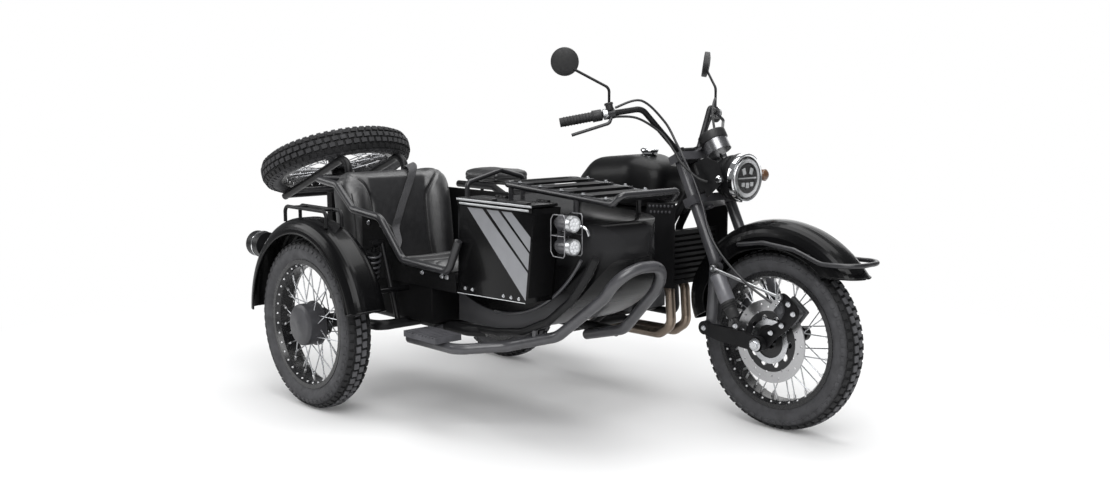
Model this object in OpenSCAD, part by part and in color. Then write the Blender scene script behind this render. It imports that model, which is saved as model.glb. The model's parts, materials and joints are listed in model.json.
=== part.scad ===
// Sidecar motorcycle: three spoked wheels, leading-link fork, sidecar on the right-hand side.
// Millimetres. +X points forward, +Y to the left, +Z up. Places are first given from the
// ground point under the rear axle, then shifted so that the origin is under the middle of the box.

/* [Wheels] */
// Distance from rear axle to front axle
wheel_base = 1560; // [1480:5:1640]
// Distance from the motorcycle's middle plane to the sidecar wheel's
sidecar_track = 1090; // [1060:5:1140]
// How far the sidecar axle lies ahead of the rear axle
sidecar_lead = 180; // [150:5:210]
// Outer radius of every tyre
tyre_r = 328; // [318:1:336]
// Width of every tyre
tyre_w = 112; // [100:1:116]
// Radius of the rim's outer bed
rim_r = 238; // [230:1:244]
// Width of the rim between its flanges
rim_w = 80; // [72:1:84]
// Spokes in each wheel
spoke_count = 36; // [24:12:48]
// Diameter of a spoke
spoke_d = 4.4; // [3:0.2:5]
// Diameter of every wheel axle
axle_d = 20; // [16:1:24]
// Radius of the front brake disc
disc_r = 150; // [135:1:160]

/* [Steering] */
// Rake of the steering axis from upright
rake = 26; // [22:0.5:30]
// How far the top clamp lies behind the front axle
head_back = 430; // [410:1:450]
// Height of the top clamp
head_z = 949; // [930:1:970]
// Distance from the middle to each fork tube
fork_y = 100; // [96:1:110]
// Radius of a fork tube
fork_r = 21; // [18:1:23]
// Height of the link pivots
link_z = 351; // [340:1:365]
// Distance from each link pivot to the front axle
link_l = 242; // [225:1:260]
// Radius of the headlamp
lamp_r = 89; // [75:1:95]
// Half width of the handlebar
bar_half = 440; // [400:5:445]
// Radius of the handlebar tube
bar_r = 11; // [10:0.5:12.5]
// Radius of a mirror head
mirror_r = 52; // [45:1:54]

/* [Motorcycle] */
// Radius of the cradle tubes
frame_r = 15; // [12:0.5:17]
// Distance from the middle to each cradle tube
cradle_y = 125; // [122:1:130]
// Half width of the crankcase
engine_half = 105; // [95:1:108]
// Height of the fuel tank's underside
tank_z = 766; // [764:1:780]
// Height of the fuel tank
tank_h = 200; // [170:2:210]
// Height of the rider's saddle top
saddle_top = 812; // [800:1:820]
// Height of the pillion pad top
pad_top = 860; // [845:1:875]
// Radius of the header pipes
pipe_r = 19; // [15:0.5:21]

/* [Sidecar] */
// Outer side of the side box and the seat tub
tub_right = 880; // [870:1:890]
// Outer side of the foot well's right wall
well_right = 755; // [740:1:765]
// Side of the tub nearest to the motorcycle
tub_left = 365; // [355:1:375]
// Underside of the tub floor
floor_z = 365; // [360:1:372]
// Thickness of the tub panels
panel_t = 8; // [5:0.5:10]
// Front end of the nose
nose_x = 1405; // [1395:1:1412]
// Height of the side box lid seam
box_top = 830; // [815:1:836]
// Radius of the sidecar frame tubes
chassis_r = 19; // [15:0.5:20]
// Radius of the crash bar tube
crash_r = 19; // [15:0.5:21]
// Radius of the seat rail tube
rail_r = 14; // [11:0.5:16]
// Radius of the rack tubes
rack_r = 11; // [9:0.5:12]
// Tilt of the spare wheel, front edge up
spare_tilt = 21.5; // [15:0.5:25]
// Place of the spare wheel's middle
spare_at = [-400, -620, 902];

/* [Hidden] */
$fn = 48;
// Running clearance of an axle or stem in its bore
run = 0.05;
// Gap between pieces of one body that seat on each other
seat = 0.3;
// How much thicker a tube is at its bends
bend_extra = 0.3;
axle_r = axle_d / 2;
front_axle = [wheel_base, 0, tyre_r];
rear_axle = [0, 0, tyre_r];
side_axle = [sidecar_lead, -sidecar_track, tyre_r];
head_x = wheel_base - head_back;
bead_r = rim_r + 13;
tyre_side = tyre_r - bead_r;
hub_half = 45;
link_drop = link_z - tyre_r;
link_x = wheel_base - sqrt(link_l * link_l - link_drop * link_drop);
link_in = fork_y + fork_r + 0.5;
link_t = 22;
fender_r = 432;
fender_half = 76;
fender_skirt = 335;
sheet_t = 3;
guard_r = 8;
guard_tip = wheel_base + 357;
side_fender_r = 408;
side_fender_out = sidecar_track + 75;
side_fender_in = sidecar_track - 80;
mirror_y = 405;
// Handlebar: clamp, top of the rise, start and end of the grip
bar_low = [head_x - 25, 60, head_z + 37];
bar_rise = [head_x - 85, 195, head_z + 197];
bar_perch = [head_x - 165, 330, head_z + 174];
bar_end = [head_x - 260, bar_half, head_z + 147];
bar_dir = unit(bar_end - bar_perch);
rise_dir = unit(bar_perch - bar_rise);
grip_r = 17;
// How far each mirror is turned towards the rider
mirror_yaw = 42;
grip_over = 6;
spare_low = max([for (p = tyre_profile()) p.x * cos(spare_tilt) + p.y * sin(spare_tilt)]);
x_low = spare_at.x - spare_low;
x_high = guard_tip + guard_r + bend_extra;
y_low = -side_fender_out;
y_high = bar_half + grip_over * bar_dir.y + grip_r * sqrt(1 - bar_dir.y * bar_dir.y);
middle = [(x_low + x_high) / 2, (y_low + y_high) / 2, 0];

// Shared shapes
function unit(v) = v / norm(v);
function arc(c, r, a0, a1, n) = [for (i = [0:n]) let (a = a0 + (a1 - a0) * i / n) c + r * [cos(a), sin(a)]];
function flip(path) = [for (i = [len(path) - 1:-1:0]) [path[i].x, -path[i].y, path[i].z]];

module placed() translate(-middle) children();

module both_sides() {
    children();
    mirror([0, 1, 0]) children();
}

module rod(a, b, r) {
    d = b - a;
    translate(a) rotate([0, acos(d.z / norm(d)), atan2(d.y, d.x)]) cylinder(h = norm(d), r = r);
}

module cross_rod(x, z, y0, y1, r) translate([x, y0, z]) rotate([-90, 0, 0]) cylinder(h = y1 - y0, r = r);

// One bend of a tube at p, between the directions to a and b
module bend(a, p, b, r, bend_r) {
    u = unit(a - p);
    v = unit(b - p);
    half = acos(u * v) / 2;
    start = p + u * bend_r / tan(half);
    c = p + unit(u + v) * bend_r / sin(half);
    ex = unit(start - c);
    ey = -u;
    ez = cross(ex, ey);
    over = 60 / bend_r;
    multmatrix([[ex.x, ey.x, ez.x, c.x], [ex.y, ey.y, ez.y, c.y], [ex.z, ey.z, ez.z, c.z]])
        rotate([0, 0, -over])
            rotate_extrude(angle = 180 - 2 * half + 2 * over) translate([bend_r, 0]) circle(r = r + bend_extra);
}

// A round tube along a path, with a bend at each inner point
module tube(path, r, bend_r) {
    last = len(path) - 1;
    function cut(i) = i == 0 || i == last ? 0
        : bend_r / tan(acos(unit(path[i - 1] - path[i]) * unit(path[i + 1] - path[i])) / 2);
    for (i = [0:last - 1]) {
        d = unit(path[i + 1] - path[i]);
        rod(path[i] + d * cut(i), path[i + 1] - d * cut(i + 1), r);
    }
    for (i = [1:last - 1]) bend(path[i - 1], path[i], path[i + 1], r, bend_r);
}

// Frame of the steering axis: local Z runs up the axis, local X forward
module on_head() translate([head_x, 0, head_z]) rotate([0, -rake, 0]) children();
module on_wheel(p) translate(p) rotate([-90, 0, 0]) children();
module on_spare() translate(spare_at) rotate([0, -spare_tilt, 0]) children();

// Wheels
function tyre_crown(a) = [tyre_r - 0.909 * tyre_side * (1 - cos(a)), 0.442 * tyre_w * sin(a) / sin(45)];
function tyre_profile() = concat(
    [[rim_r + seat, -rim_w / 2 + seat], [bead_r, -rim_w / 2 + seat], [bead_r + 0.22 * tyre_side, -tyre_w / 2 + 2],
     [bead_r + 0.43 * tyre_side, -tyre_w / 2]],
    [for (i = [-6:6]) tyre_crown(7.5 * i)],
    [[bead_r + 0.43 * tyre_side, tyre_w / 2], [bead_r + 0.22 * tyre_side, tyre_w / 2 - 2],
     [bead_r, rim_w / 2 - seat], [rim_r + seat, rim_w / 2 - seat]]);

module tyre_shape() rotate_extrude($fn = 96) polygon(tyre_profile());

module rim_shape() {
    flange = rim_w / 2;
    rotate_extrude($fn = 96) polygon([[rim_r - 16, -flange + 14], [rim_r - 6, -flange - 4],
        [rim_r + 11, -flange - 4], [rim_r + 11, -flange], [rim_r, -flange], [rim_r, flange],
        [rim_r + 11, flange], [rim_r + 11, flange + 4], [rim_r - 6, flange + 4], [rim_r - 16, flange - 14]]);
    difference() {
        union() {
            cylinder(h = 2 * hub_half, r = 36, center = true);
            for (side = [-1, 1]) translate([0, 0, side * 34]) cylinder(h = 20, r = 54, center = true);
        }
        cylinder(h = 4 * hub_half, r = axle_r + run, center = true);
    }
    // Leading spokes leave the outer face of a hub flange, trailing ones the inner face
    for (i = [0:spoke_count - 1]) {
        side = i % 2 == 0 ? 1 : -1;
        lead = floor(i / 2) % 2 == 0 ? 1 : -1;
        a = i * 360 / spoke_count;
        hub_a = a + lead * 46;
        rod([48 * cos(hub_a), 48 * sin(hub_a), side * (34 + lead * 7)],
            [(rim_r - 8) * cos(a), (rim_r - 8) * sin(a), side * 8], spoke_d / 2);
    }
}

module wheel_tyre(p) color("#1c1c1e") placed() on_wheel(p) tyre_shape();
module wheel_rim(p) color("#8d9095") placed() on_wheel(p) rim_shape();

module front_tyre() wheel_tyre(front_axle);
module rear_tyre() wheel_tyre(rear_axle);
module sidecar_tyre() wheel_tyre(side_axle);
module front_rim() wheel_rim(front_axle);
module rear_rim() wheel_rim(rear_axle);

module sidecar_rim() {
    wheel_rim(side_axle);
    color("#3a3b3e") placed() on_wheel(side_axle)
        translate([0, 0, -hub_half - 24]) cylinder(h = 25, r = 52);
}

module spare_tyre() color("#1c1c1e") placed() on_spare() tyre_shape();
module spare_rim() color("#8d9095") placed() on_spare() rim_shape();

disc_y = -62;
disc_t = 5;
module front_disc() color("#b9bcc0") placed() on_wheel(front_axle) {
    difference() {
        translate([0, 0, disc_y]) cylinder(h = disc_t, r = disc_r, center = true);
        for (i = [0:9]) rotate(i * 36) translate([disc_r - 68, 0, disc_y])
            cylinder(h = 3 * disc_t, r = 14, center = true);
        for (i = [0:29]) rotate(i * 12) translate([disc_r - 14 - 12 * (i % 3), 0, disc_y])
            cylinder(h = 3 * disc_t, r = 4, center = true);
        cylinder(h = 300, r = 26, center = true);
    }
    difference() {
        translate([0, 0, disc_y]) cylinder(h = -disc_y - hub_half - seat, r = 46);
        cylinder(h = 300, r = 26, center = true);
    }
}

// Steering
fork_off = 25;
stem_r = 20;
kink_z = 590;
function on_fork(z) = head_x + fork_off / cos(rake) + (head_z - z) * tan(rake);
shock_top = [link_x + 36, link_z + 227];
shock_low = [link_x + 148, link_z + 30];
boss_z = kink_z + 12;

module fork() color("#1b1b1d") placed() {
    on_head() {
        translate([0, 0, -195]) cylinder(h = 217, r = stem_r);
        for (z = [-15, -186]) translate([0, 0, z]) linear_extrude(32) polygon([[-32, -25], [-32, 25],
            [0, fork_y + 32], [58, fork_y + 32], [58, -fork_y - 32], [0, -fork_y - 32]]);
    }
    both_sides() {
        tube([[on_fork(head_z + 30), fork_y, head_z + 30], [on_fork(kink_z), fork_y, kink_z],
              [link_x, fork_y, link_z]], fork_r, 90);
        cross_rod(link_x, link_z, fork_y - fork_r, link_in - seat, 26);
        cross_rod(shock_top.x, shock_top.y, fork_y, link_in - seat, 15);
        rod([on_fork(kink_z), fork_y, shock_top.y], [shock_top.x, fork_y, shock_top.y], 12);
        cross_rod(on_fork(kink_z), boss_z, fender_half + seat, fork_y, 11);
    }
}

module leading_links() color("#1b1b1d") placed() {
    both_sides() {
        for (p = [[link_x, link_z, 25], [wheel_base, tyre_r, 27]])
            cross_rod(p[0], p[1], link_in, link_in + link_t, p[2]);
        translate([0, link_in + link_t - 1, 0]) rotate([90, 0, 0]) linear_extrude(link_t - 2) polygon([
            [link_x, link_z - 24], [link_x + 70, link_z - 38], [wheel_base, tyre_r - 26], [wheel_base, tyre_r + 19],
            [shock_low.x + 30, link_z + 12], [shock_low.x + 12, shock_low.y - 15 - seat],
            [shock_low.x - 12, shock_low.y - 15 - seat], [shock_low.x - 40, link_z + 16], [link_x, link_z + 19]]);
    }
    cross_rod(wheel_base, tyre_r, -link_in - link_t - 6, link_in + link_t + 6, axle_r);
}

module front_shocks() color("#232326") placed() both_sides() {
    y = link_in + link_t / 2;
    top = [shock_top.x, y, shock_top.y];
    low = [shock_low.x, y, shock_low.y];
    rod(top, low, 9);
    rod(top + (low - top) * 0.12, top + (low - top) * 0.62, 27);
    rod(top + (low - top) * 0.55, top + (low - top) * 0.86, 21);
    for (p = [top, low]) cross_rod(p.x, p.z, link_in, link_in + link_t, 15);
}

// Cross-section of a mudguard, inset by d: half width w, top radius r, edge radius e, skirt down to low
function guard_half(r, w, e, low, d) = concat([[low, w - d]], arc([r - e, w - e], e - d, 90, 0, 8));
function guard_profile(r, e, out, inn, low_out, low_in) = concat(
    [for (p = guard_half(r, out, e, low_out, 0)) [p.x, -p.y]],
    [for (i = [9:-1:0]) guard_half(r, inn, e, low_in, 0)[i]],
    guard_half(r, inn, e, low_in, sheet_t),
    [for (i = [9:-1:0]) let (p = guard_half(r, out, e, low_out, sheet_t)[i]) [p.x, -p.y]]);

module mudguard(p, a0, a1, r, e, out, inn, low_out, low_in) on_wheel(p) rotate([0, 0, -a1])
    rotate_extrude(angle = a1 - a0, $fn = 96) polygon(guard_profile(r, e, out, inn, low_out, low_in));

// The front end is cut off level; behind the fork the guard turns in with a smaller radius
fender_low = tyre_r + 260;
fender_end = 150;
tail_end = 208;
tail_r = 200;
module front_fender() color("#101012") placed() {
    tail_at = front_axle + (fender_r - tail_r) * [cos(fender_end), 0, sin(fender_end)];
    tail_skirt = tail_r - fender_r + fender_skirt;
    difference() {
        mudguard(front_axle, 30, fender_end, fender_r, 70, fender_half, fender_half, fender_skirt, fender_skirt);
        translate([wheel_base, -200, 0]) cube([600, 400, fender_low]);
    }
    mudguard(tail_at, fender_end, tail_end, tail_r, 70, fender_half, fender_half, tail_skirt, tail_skirt);
}

module fender_guard() color("#1b1b1d") placed() {
    guard_y = fender_half + guard_r + 10;
    path = [[wheel_base - 130, -guard_y, 666], [wheel_base - 20, -guard_y, 683], [wheel_base + 115, -guard_y, 671],
            [wheel_base + 225, -guard_y, 634], [guard_tip, -guard_y, 637]];
    tube(concat(path, flip(path)), guard_r, 75);
    both_sides() for (p = [[wheel_base - 75, 674], [wheel_base + 165, 654]])
        cross_rod(p[0], p[1], fender_half + seat, guard_y, 6);
}

lamp_at = [head_x + 242, 0, head_z - 52];
module headlamp() color("#18181a") placed() {
    translate(lamp_at) rotate([0, -90, 0]) rotate_extrude() polygon(concat(
        [[0, -12], [lamp_r - 14, -12], [lamp_r, -2], [lamp_r, 18]],
        arc([0, 35], lamp_r - 6, 0, 62, 8), [[0, 35 + (lamp_r - 6) * sin(62)]]));
    both_sides() on_head() translate([fork_off + fork_r + seat, lamp_r + 1, -152]) cube([134, 7, 64]);
    cross_rod(lamp_at.x - 30, lamp_at.z, -lamp_r - 3, lamp_r + 3, 12);
}

gauge_at = [head_x + 128, 0, head_z + 37];
module gauge() color("#18181a") placed() {
    translate(gauge_at) rotate([0, -32, 0]) cylinder(h = 74, r = 48);
    on_head() translate([20, -22, 17 + seat]) cube([124, 44, 7]);
}

perch_at = bar_rise + (bar_perch - bar_rise) * 0.8;
perch_r = 20;

module handlebar() color("#1b1b1d") placed() {
    half = [[bar_end.x, -bar_end.y, bar_end.z], [bar_perch.x, -bar_perch.y, bar_perch.z],
            [bar_rise.x, -bar_rise.y, bar_rise.z], [bar_low.x, -bar_low.y, bar_low.z]];
    tube(concat(half, flip(half)), bar_r, 42);
    both_sides() on_head() translate([-7, 42, 17 + seat]) cylinder(h = 36, r = 16);
}

module grips() color("#151517") placed() both_sides() difference() {
    union() {
        rod(bar_end - bar_dir * 118, bar_end + bar_dir * grip_over, grip_r);
        rod(bar_end - bar_dir * 122, bar_end - bar_dir * 116, 22);
    }
    rod(bar_end - bar_dir * 140, bar_end, bar_r + seat);
}

module levers() color("#9a9da1") placed() both_sides() {
    difference() {
        rod(perch_at - rise_dir * 20, perch_at + rise_dir * 20, perch_r);
        rod(perch_at - rise_dir * 30, perch_at + rise_dir * 30, bar_r + 2 * seat);
    }
    tube([perch_at + [14, 0, -12], perch_at + [24, 22, -34], [bar_end.x + 45, bar_end.y - 10, bar_end.z - 46]], 6, 16);
}

module mirrors() color("#18181a") placed() both_sides() {
    foot = perch_at + [0, 0, (perch_r + 5 * abs(rise_dir.z)) / sqrt(1 - rise_dir.z * rise_dir.z) + seat];
    turn = [foot.x, foot.y, head_z + 273];
    head = [head_x - 280, mirror_y, head_z + 369];
    tube([foot, turn, head + [-6, -8, -10]], 5, 25);
    translate(head) rotate([0, -82, mirror_yaw]) cylinder(h = 16, r = mirror_r);
}

// Angle of the brake calliper above level, ahead of the axle
calliper_at = 52;
module calliper() color("#1b1b1d") placed() on_wheel(front_axle) {
    difference() {
        rotate([0, 0, -calliper_at]) translate([114, -42, -110]) cube([74, 84, 74]);
        translate([0, 0, disc_y]) cylinder(h = disc_t + 10, r = disc_r + 5, center = true);
        cylinder(h = 300, r = 116, center = true);
    }
    translate([0, 0, -119]) linear_extrude(9 + seat) difference() {
        rotate(-calliper_at) polygon([[-28, -20], [-18, 26], [40, 32], [112, 50], [178, 52], [206, 34], [206, -26],
            [176, -50], [96, -44], [10, -30]]);
        circle(r = axle_r + seat);
    }
}

module turn_lamp() color("#c8741c") placed() {
    z = head_z - 50;
    translate([head_x + 180, 148, z]) rotate([0, 90, 0]) cylinder(h = 46, r = 21);
    cross_rod(on_fork(z) + 4, z, fork_y + fork_r + seat, 148, 8);
    rod([on_fork(z) + 4, 148, z], [head_x + 190, 148, z], 8);
}

// Motorcycle
swing_at = [430, 380];
shock_y = 137;
shock_half = 14;
shock_in = shock_y - shock_half - seat;
rail_z = 788;
head_low = [head_x + 70 * sin(rake), head_z - 70 * cos(rake)];
frame_low = 320;
spine_r = 22;
spine_z = tank_z - spine_r - bend_extra - seat;
engine_low = frame_low + 25;
mount_r = 12;

module main_frame() color("#141416") placed() {
    difference() {
        union() {
            on_head() translate([0, 0, -153]) cylinder(h = 137, r = 31);
            tube([[head_x + 50, 0, head_z - 90], [1060, 0, spine_z], [330, 0, spine_z]], spine_r, 120);
            both_sides() tube([[head_low.x, 18, head_low.y], [1040, 30, 690], [960, 95, 480],
                [945, cradle_y, frame_low], [470, cradle_y, frame_low], [425, cradle_y, 420], [330, 110, 735],
                [170, 107, 745], [60, 105, rail_z], [-190, 105, rail_z]], frame_r, 45);
        }
        on_head() cylinder(h = 800, r = stem_r + run, center = true);
    }
    for (p = [[330, 733], [-150, rail_z - 2]]) cross_rod(p[0], p[1], -108, 108, 12);
    for (x = [560, 840]) cross_rod(x, engine_low - mount_r - seat, -cradle_y, cradle_y, mount_r);
    rod([-150, 0, rail_z], [-150, 0, 700.4], 8);
    both_sides() {
        translate([138, 105, 722]) cube([24, shock_in - 105, 50]);
        cross_rod(470, frame_low, cradle_y, cradle_y + 100, 11);
        cross_rod(470, frame_low, cradle_y + 30, cradle_y + 100, 17);
    }
}

module engine() color("#2a2b2e") placed() {
    fins = 7;
    difference() {
        translate([500, -engine_half, engine_low]) cube([400, 2 * engine_half, 560 - engine_low]);
        translate([480, -200, 490]) rotate([0, -35, 0]) cube([200, 400, 200]);
    }
    cross_rod(640, 440, -engine_half - 55, engine_half + 50, 88);
    cross_rod(800, 430, -engine_half - 38, engine_half + 60, 76);
    translate([735, -102, 545]) rotate([0, 8, 0]) cube([150, 204, 145]);
    for (i = [0:fins - 1]) translate([722, -112, 566 + i * 15]) rotate([0, 8, 0]) cube([176, 224, 5]);
    translate([745, -108, 676]) rotate([0, 8, 0]) cube([140, 216, 22]);
}

module air_box() color("#17171a") placed() {
    translate([470, -92, 566]) cube([230, 184, 145]);
    both_sides() translate([455, 90, 585]) cube([235, 14, 120]);
    translate([560, -60, 560 + seat]) cube([90, 120, 20]);
}

module radiator() color("#121214") placed() {
    core_x = frame_r + bend_extra + seat;
    translate([1021, 0, 640]) rotate([0, 20.9, 0]) {
        translate([core_x, -150, -105]) cube([62 - core_x, 300, 145]);
    }
    // Cheeks beside the core, and the louvred front between them
    both_sides() translate([0, 155, 0]) rotate([90, 0, 0]) linear_extrude(5.01)
        polygon([[1000, 470], [1178, 480], [1178, 800], [1040, 792]]);
    difference() {
        translate([1126, -151, 482]) cube([8, 302, 206]);
        for (i = [0:8]) translate([1116, -132, 494 + i * 21]) cube([30, 264, 10]);
    }
}

muffler_y = 215;
module exhaust() color("#6e5b4c") placed() {
    both_sides() tube([[900 + seat, 44, 478], [1058, 44, 478], [1072, 44, 310], [1010, 44, 268], [700, 40, 262]], pipe_r, 45);
    tube([[720, 25, 262], [480, 40, 262], [390, muffler_y, 320], [320, muffler_y, 345]], pipe_r + 3, 60);
    rod([340, muffler_y, 338], [-270, muffler_y, 392], 46);
    rod([345, muffler_y, 338], [360, muffler_y, 336], 30);
}

module fuel_tank() color("#0e0e10") placed() hull() {
    both_sides() for (s = [
        // x, y, height of the middle above the underside, radius
        [895, 52, tank_h - 85, 85], [965, 36, tank_h - 92, 72], [700, 40, tank_h - 102, 84],
        [602, 22, 62, 58], [985, 78, 34, 34], [880, 100, 36, 36], [680, 92, 34, 34], [590, 50, 30, 30]])
        translate([s[0], s[1], tank_z + s[2]]) sphere(r = s[3], $fn = 32);
}

module tank_cap() color("#c9ccd0") placed() translate([905, 0, tank_z + tank_h]) {
    translate([0, 0, seat]) cylinder(h = 10, r = 30);
    translate([0, 0, 10]) cylinder(h = 14, r = 36);
}

module soft_block(low, high, r) hull() for (x = [low.x + r, high.x - r], y = [low.y + r, high.y - r]) {
    translate([x, y, low.z]) cylinder(h = 10, r = r, $fn = 32);
    translate([x, y, high.z - r * 0.4]) scale(1) sphere(r = r * 0.4, $fn = 32);
}

module rider_saddle() color("#17171a") placed()
    soft_block([160, -130, tank_z], [520, 130, saddle_top], 45);

module pillion_pad() color("#17171a") placed()
    soft_block([-172, -108, rail_z + frame_r + bend_extra + seat], [78, 108, pad_top], 35);

module rear_fender() color("#101012") placed()
    mudguard(rear_axle, 38, 195, 398, 48, 78, 78, 345, 345);

module tail_lamps() color("#8c1c18") placed() {
    translate([-380, 0, 486]) rotate([0, -90, 0]) cylinder(h = 52, r = 40);
    translate([sidecar_lead - 350, -sidecar_track, 594]) rotate([0, -90, 0]) {
        translate([0, 0, -29]) cylinder(h = 36, r = 14);
        cylinder(h = 88, r = 52);
        translate([0, 0, 88]) cylinder(h = 40, r1 = 52, r2 = 30);
    }
}

arm_y = 88;
pivot_in = frame_r + bend_extra + seat;
module swingarm() color("#1b1b1d") placed() {
    both_sides() {
        rod([swing_at.x, arm_y, swing_at.y], [0, arm_y, tyre_r], 20);
        cross_rod(0, tyre_r, arm_y - 20, arm_y + 22, 30);
        cross_rod(40, tyre_r + 20, arm_y, shock_in, 11);
    }
    cross_rod(swing_at.x, swing_at.y, -cradle_y + pivot_in, cradle_y - pivot_in, 24);
    cross_rod(0, tyre_r, -arm_y - 30, arm_y + 30, axle_r);
    cross_rod(0, tyre_r, hub_half + 6, arm_y, 76);
}

// Rear shock absorbers of the motorcycle and the sidecar: lower end, upper end, in the plane of y
shock_table = [[[40, 0, tyre_r + 20], [150, 0, 736], shock_y], [[40, 0, tyre_r + 20], [150, 0, 736], -shock_y],
    [[sidecar_lead + 130, 0, 374], [sidecar_lead + 190, 0, 640], -940]];

module shocks() color("#2b2c2f") placed() for (s = shock_table) {
    low = s[0] + [0, s[2], 0];
    top = s[1] + [0, s[2], 0];
    rod(low, top, 9);
    rod(low + (top - low) * 0.2, low + (top - low) * 0.88, 25);
    for (p = [low, top]) cross_rod(p.x, p.z, s[2] - shock_half, s[2] + shock_half, 14);
}

// Sidecar
tube_z = floor_z - chassis_r - seat;
bow_c = [880, 940];
bow_r = 580;
bow_y = well_right + rail_r + 6;
function bow(a) = [bow_c.x + bow_r * cos(a), -bow_y, bow_c.y + bow_r * sin(a)];
stern_x = -80;
upright_y = [-480, -760];

module sidecar_frame() color("#141416") placed() {
    tube([[stern_x, -800, tube_z], [760, -800, tube_z], [820, -760, tube_z]], chassis_r, 60);
    rod([stern_x, -tub_left - 40, tube_z], [1130, -tub_left - 40, tube_z], chassis_r);
    for (x = [stern_x, 260, 620]) cross_rod(x, tube_z, -800, -tub_left - 40, chassis_r - 4);
    tube([[620, -bow_y, tube_z], bow(-88), bow(-74), bow(-60), bow(-46), bow(-33), bow(-27)], rail_r, 70);
    // Struts to the motorcycle's cradle
    for (x = [560, 900]) cross_rod(x, tube_z - 20, -tub_left - 40, -cradle_y - frame_r + 8, chassis_r - 3);
    cross_rod(260, tube_z, -tub_left - 40, -tub_left + 45, chassis_r - 4);
    rod([900, -tub_left + 55, tube_z - 20], [957, -102, 470], chassis_r - 5);
    rod([260, -tub_left + 30, tube_z], [371, -122, 600], chassis_r - 5);
    // Trailing arm and axle of the sidecar wheel
    tube([[side_axle.x + 290, -800, tube_z], [side_axle.x + 290, -sidecar_track + 105, tube_z],
          [side_axle.x, -sidecar_track + 105, tyre_r]], chassis_r, 40);
    cross_rod(side_axle.x, tyre_r, -sidecar_track - hub_half + 6, -sidecar_track + 110, axle_r);
    cross_rod(side_axle.x, tyre_r, -sidecar_track + hub_half + 10, -sidecar_track + 125, 28);
    cross_rod(side_axle.x + 130, tube_z + 14, -sidecar_track + 105, -954.5, 12);
    // Tower of the sidecar's shock absorber
    rod([side_axle.x + 290, -905, tube_z], [side_axle.x + 190, -905, 640], 10);
    cross_rod(side_axle.x + 190, 640, -940 + shock_half + seat, -900, 9);
}

// Side outline and plan of the foot well and nose, inset by d
well_x = 650;
deck_z = 815;
deck_fall = 0.0505;
nose_c = [nose_x - 75, 705];
function well_side(d) = concat([[well_x, floor_z + d], [bow_c.x, floor_z + d]],
    arc([bow_c.x, floor_z + bow_r], bow_r - d, -90, -33, 14),
    arc(nose_c, 75 - d, -50, 93, 10), [[well_x, deck_z - d]]);
// Corner radii of the nose in plan, and how far its right side draws in
nose_right = 120;
nose_left = 230;
nose_draw = 22;
function well_plan(d) = concat([[well_x, -well_right + d], [1215, -well_right + d]],
    arc([nose_x - nose_right, -well_right + nose_draw + nose_right], nose_right - d, -90, 0, 10),
    arc([nose_x - nose_left, -tub_left - nose_left], nose_left - d, 0, 90, 14), [[well_x, -tub_left - d]]);

module well_solid(d) intersection() {
    translate([0, -tub_left + 50, 0]) rotate([90, 0, 0]) linear_extrude(500) polygon(well_side(d));
    linear_extrude(1000) polygon(well_plan(d));
}

module tub_nose() color("#0f0f11") placed() difference() {
    well_solid(0);
    translate([-0.01, 0, 0]) well_solid(panel_t);
}

sill_z = 505;
module seat_tub() color("#141416") placed() {
    front = well_x - seat;
    difference() {
        translate([stern_x + 20, -tub_right, floor_z]) cube([front - stern_x - 20, tub_right - tub_left, 440]);
        translate([stern_x + 20 + panel_t, -tub_right + panel_t, floor_z + panel_t])
            cube([1000, tub_right - tub_left - 2 * panel_t, 600]);
        translate([stern_x + 60, -tub_right - 10, sill_z]) cube([1000, 100, 600]);
    }
    translate([front - panel_t, -tub_right, floor_z]) cube([panel_t, tub_right - well_right, sill_z - floor_z]);
    translate([60, -tub_right + 40, floor_z]) cube([500, tub_right - tub_left - 80, 75]);
}

module seat_cushion() color("#1a1a1d") placed()
    soft_block([65 + back_t + bolster_out, -tub_right + 12, floor_z + 75 + seat], [600, -tub_left - 14, 575], 40);

// Seat back: plan with a bolster on each side of the flat middle, and front view with round top corners
back_right = tub_right + 34;
back_left = tub_left + panel_t + 4;
back_t = 82;
back_h = 458;
back_corner = 88;
bolster_half = 62;
bolster_out = 46;
bolster_r = (bolster_half * bolster_half + bolster_out * bolster_out) / (2 * bolster_out);
bolster_a = asin(bolster_half / bolster_r);
function bolster(y) = arc([back_t + bolster_out - bolster_r, y], bolster_r, -bolster_a, bolster_a, 12);
function back_plan() = concat([[0, -back_right]], bolster(bolster_half - back_right),
    bolster(-back_left - bolster_half), [[0, -back_left]]);
back_low = sill_z - floor_z - 65;
function back_front() = concat(
    [[12 - tub_right, 0], [12 - tub_right, back_low], [-back_right, back_low + 40]],
    arc([back_corner - back_right, back_h - back_corner], back_corner, 180, 90, 10),
    arc([-back_left - back_corner, back_h - back_corner], back_corner, 90, 0, 10), [[-back_left, 0]]);

module seat_back() color("#1a1a1d") placed() translate([62, 0, floor_z + 75 + seat]) rotate([0, -7.5, 0])
    intersection() {
        linear_extrude(back_h) polygon(back_plan());
        rotate([90, 0, 90]) linear_extrude(back_t + bolster_out + 1) polygon(back_front());
    }

// Side outline of the side box, inset by d
function box_side(d) = [[804 + d, 501 + d], [1174 - d, 512 + d], [1211 - d, box_top], [824 + d, box_top]];
box_in = well_right + seat;
box_wall = 4;
// Hinge of the lid: place across and up, knuckle and pin radius, start of each hinge along the box
knuckle_r = 6;
hinge_pin_r = 3;
hinge_at = [-box_in - knuckle_r, box_top + 14];
hinge_x = [880, 1100];
knuckle_l = 20;

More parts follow.
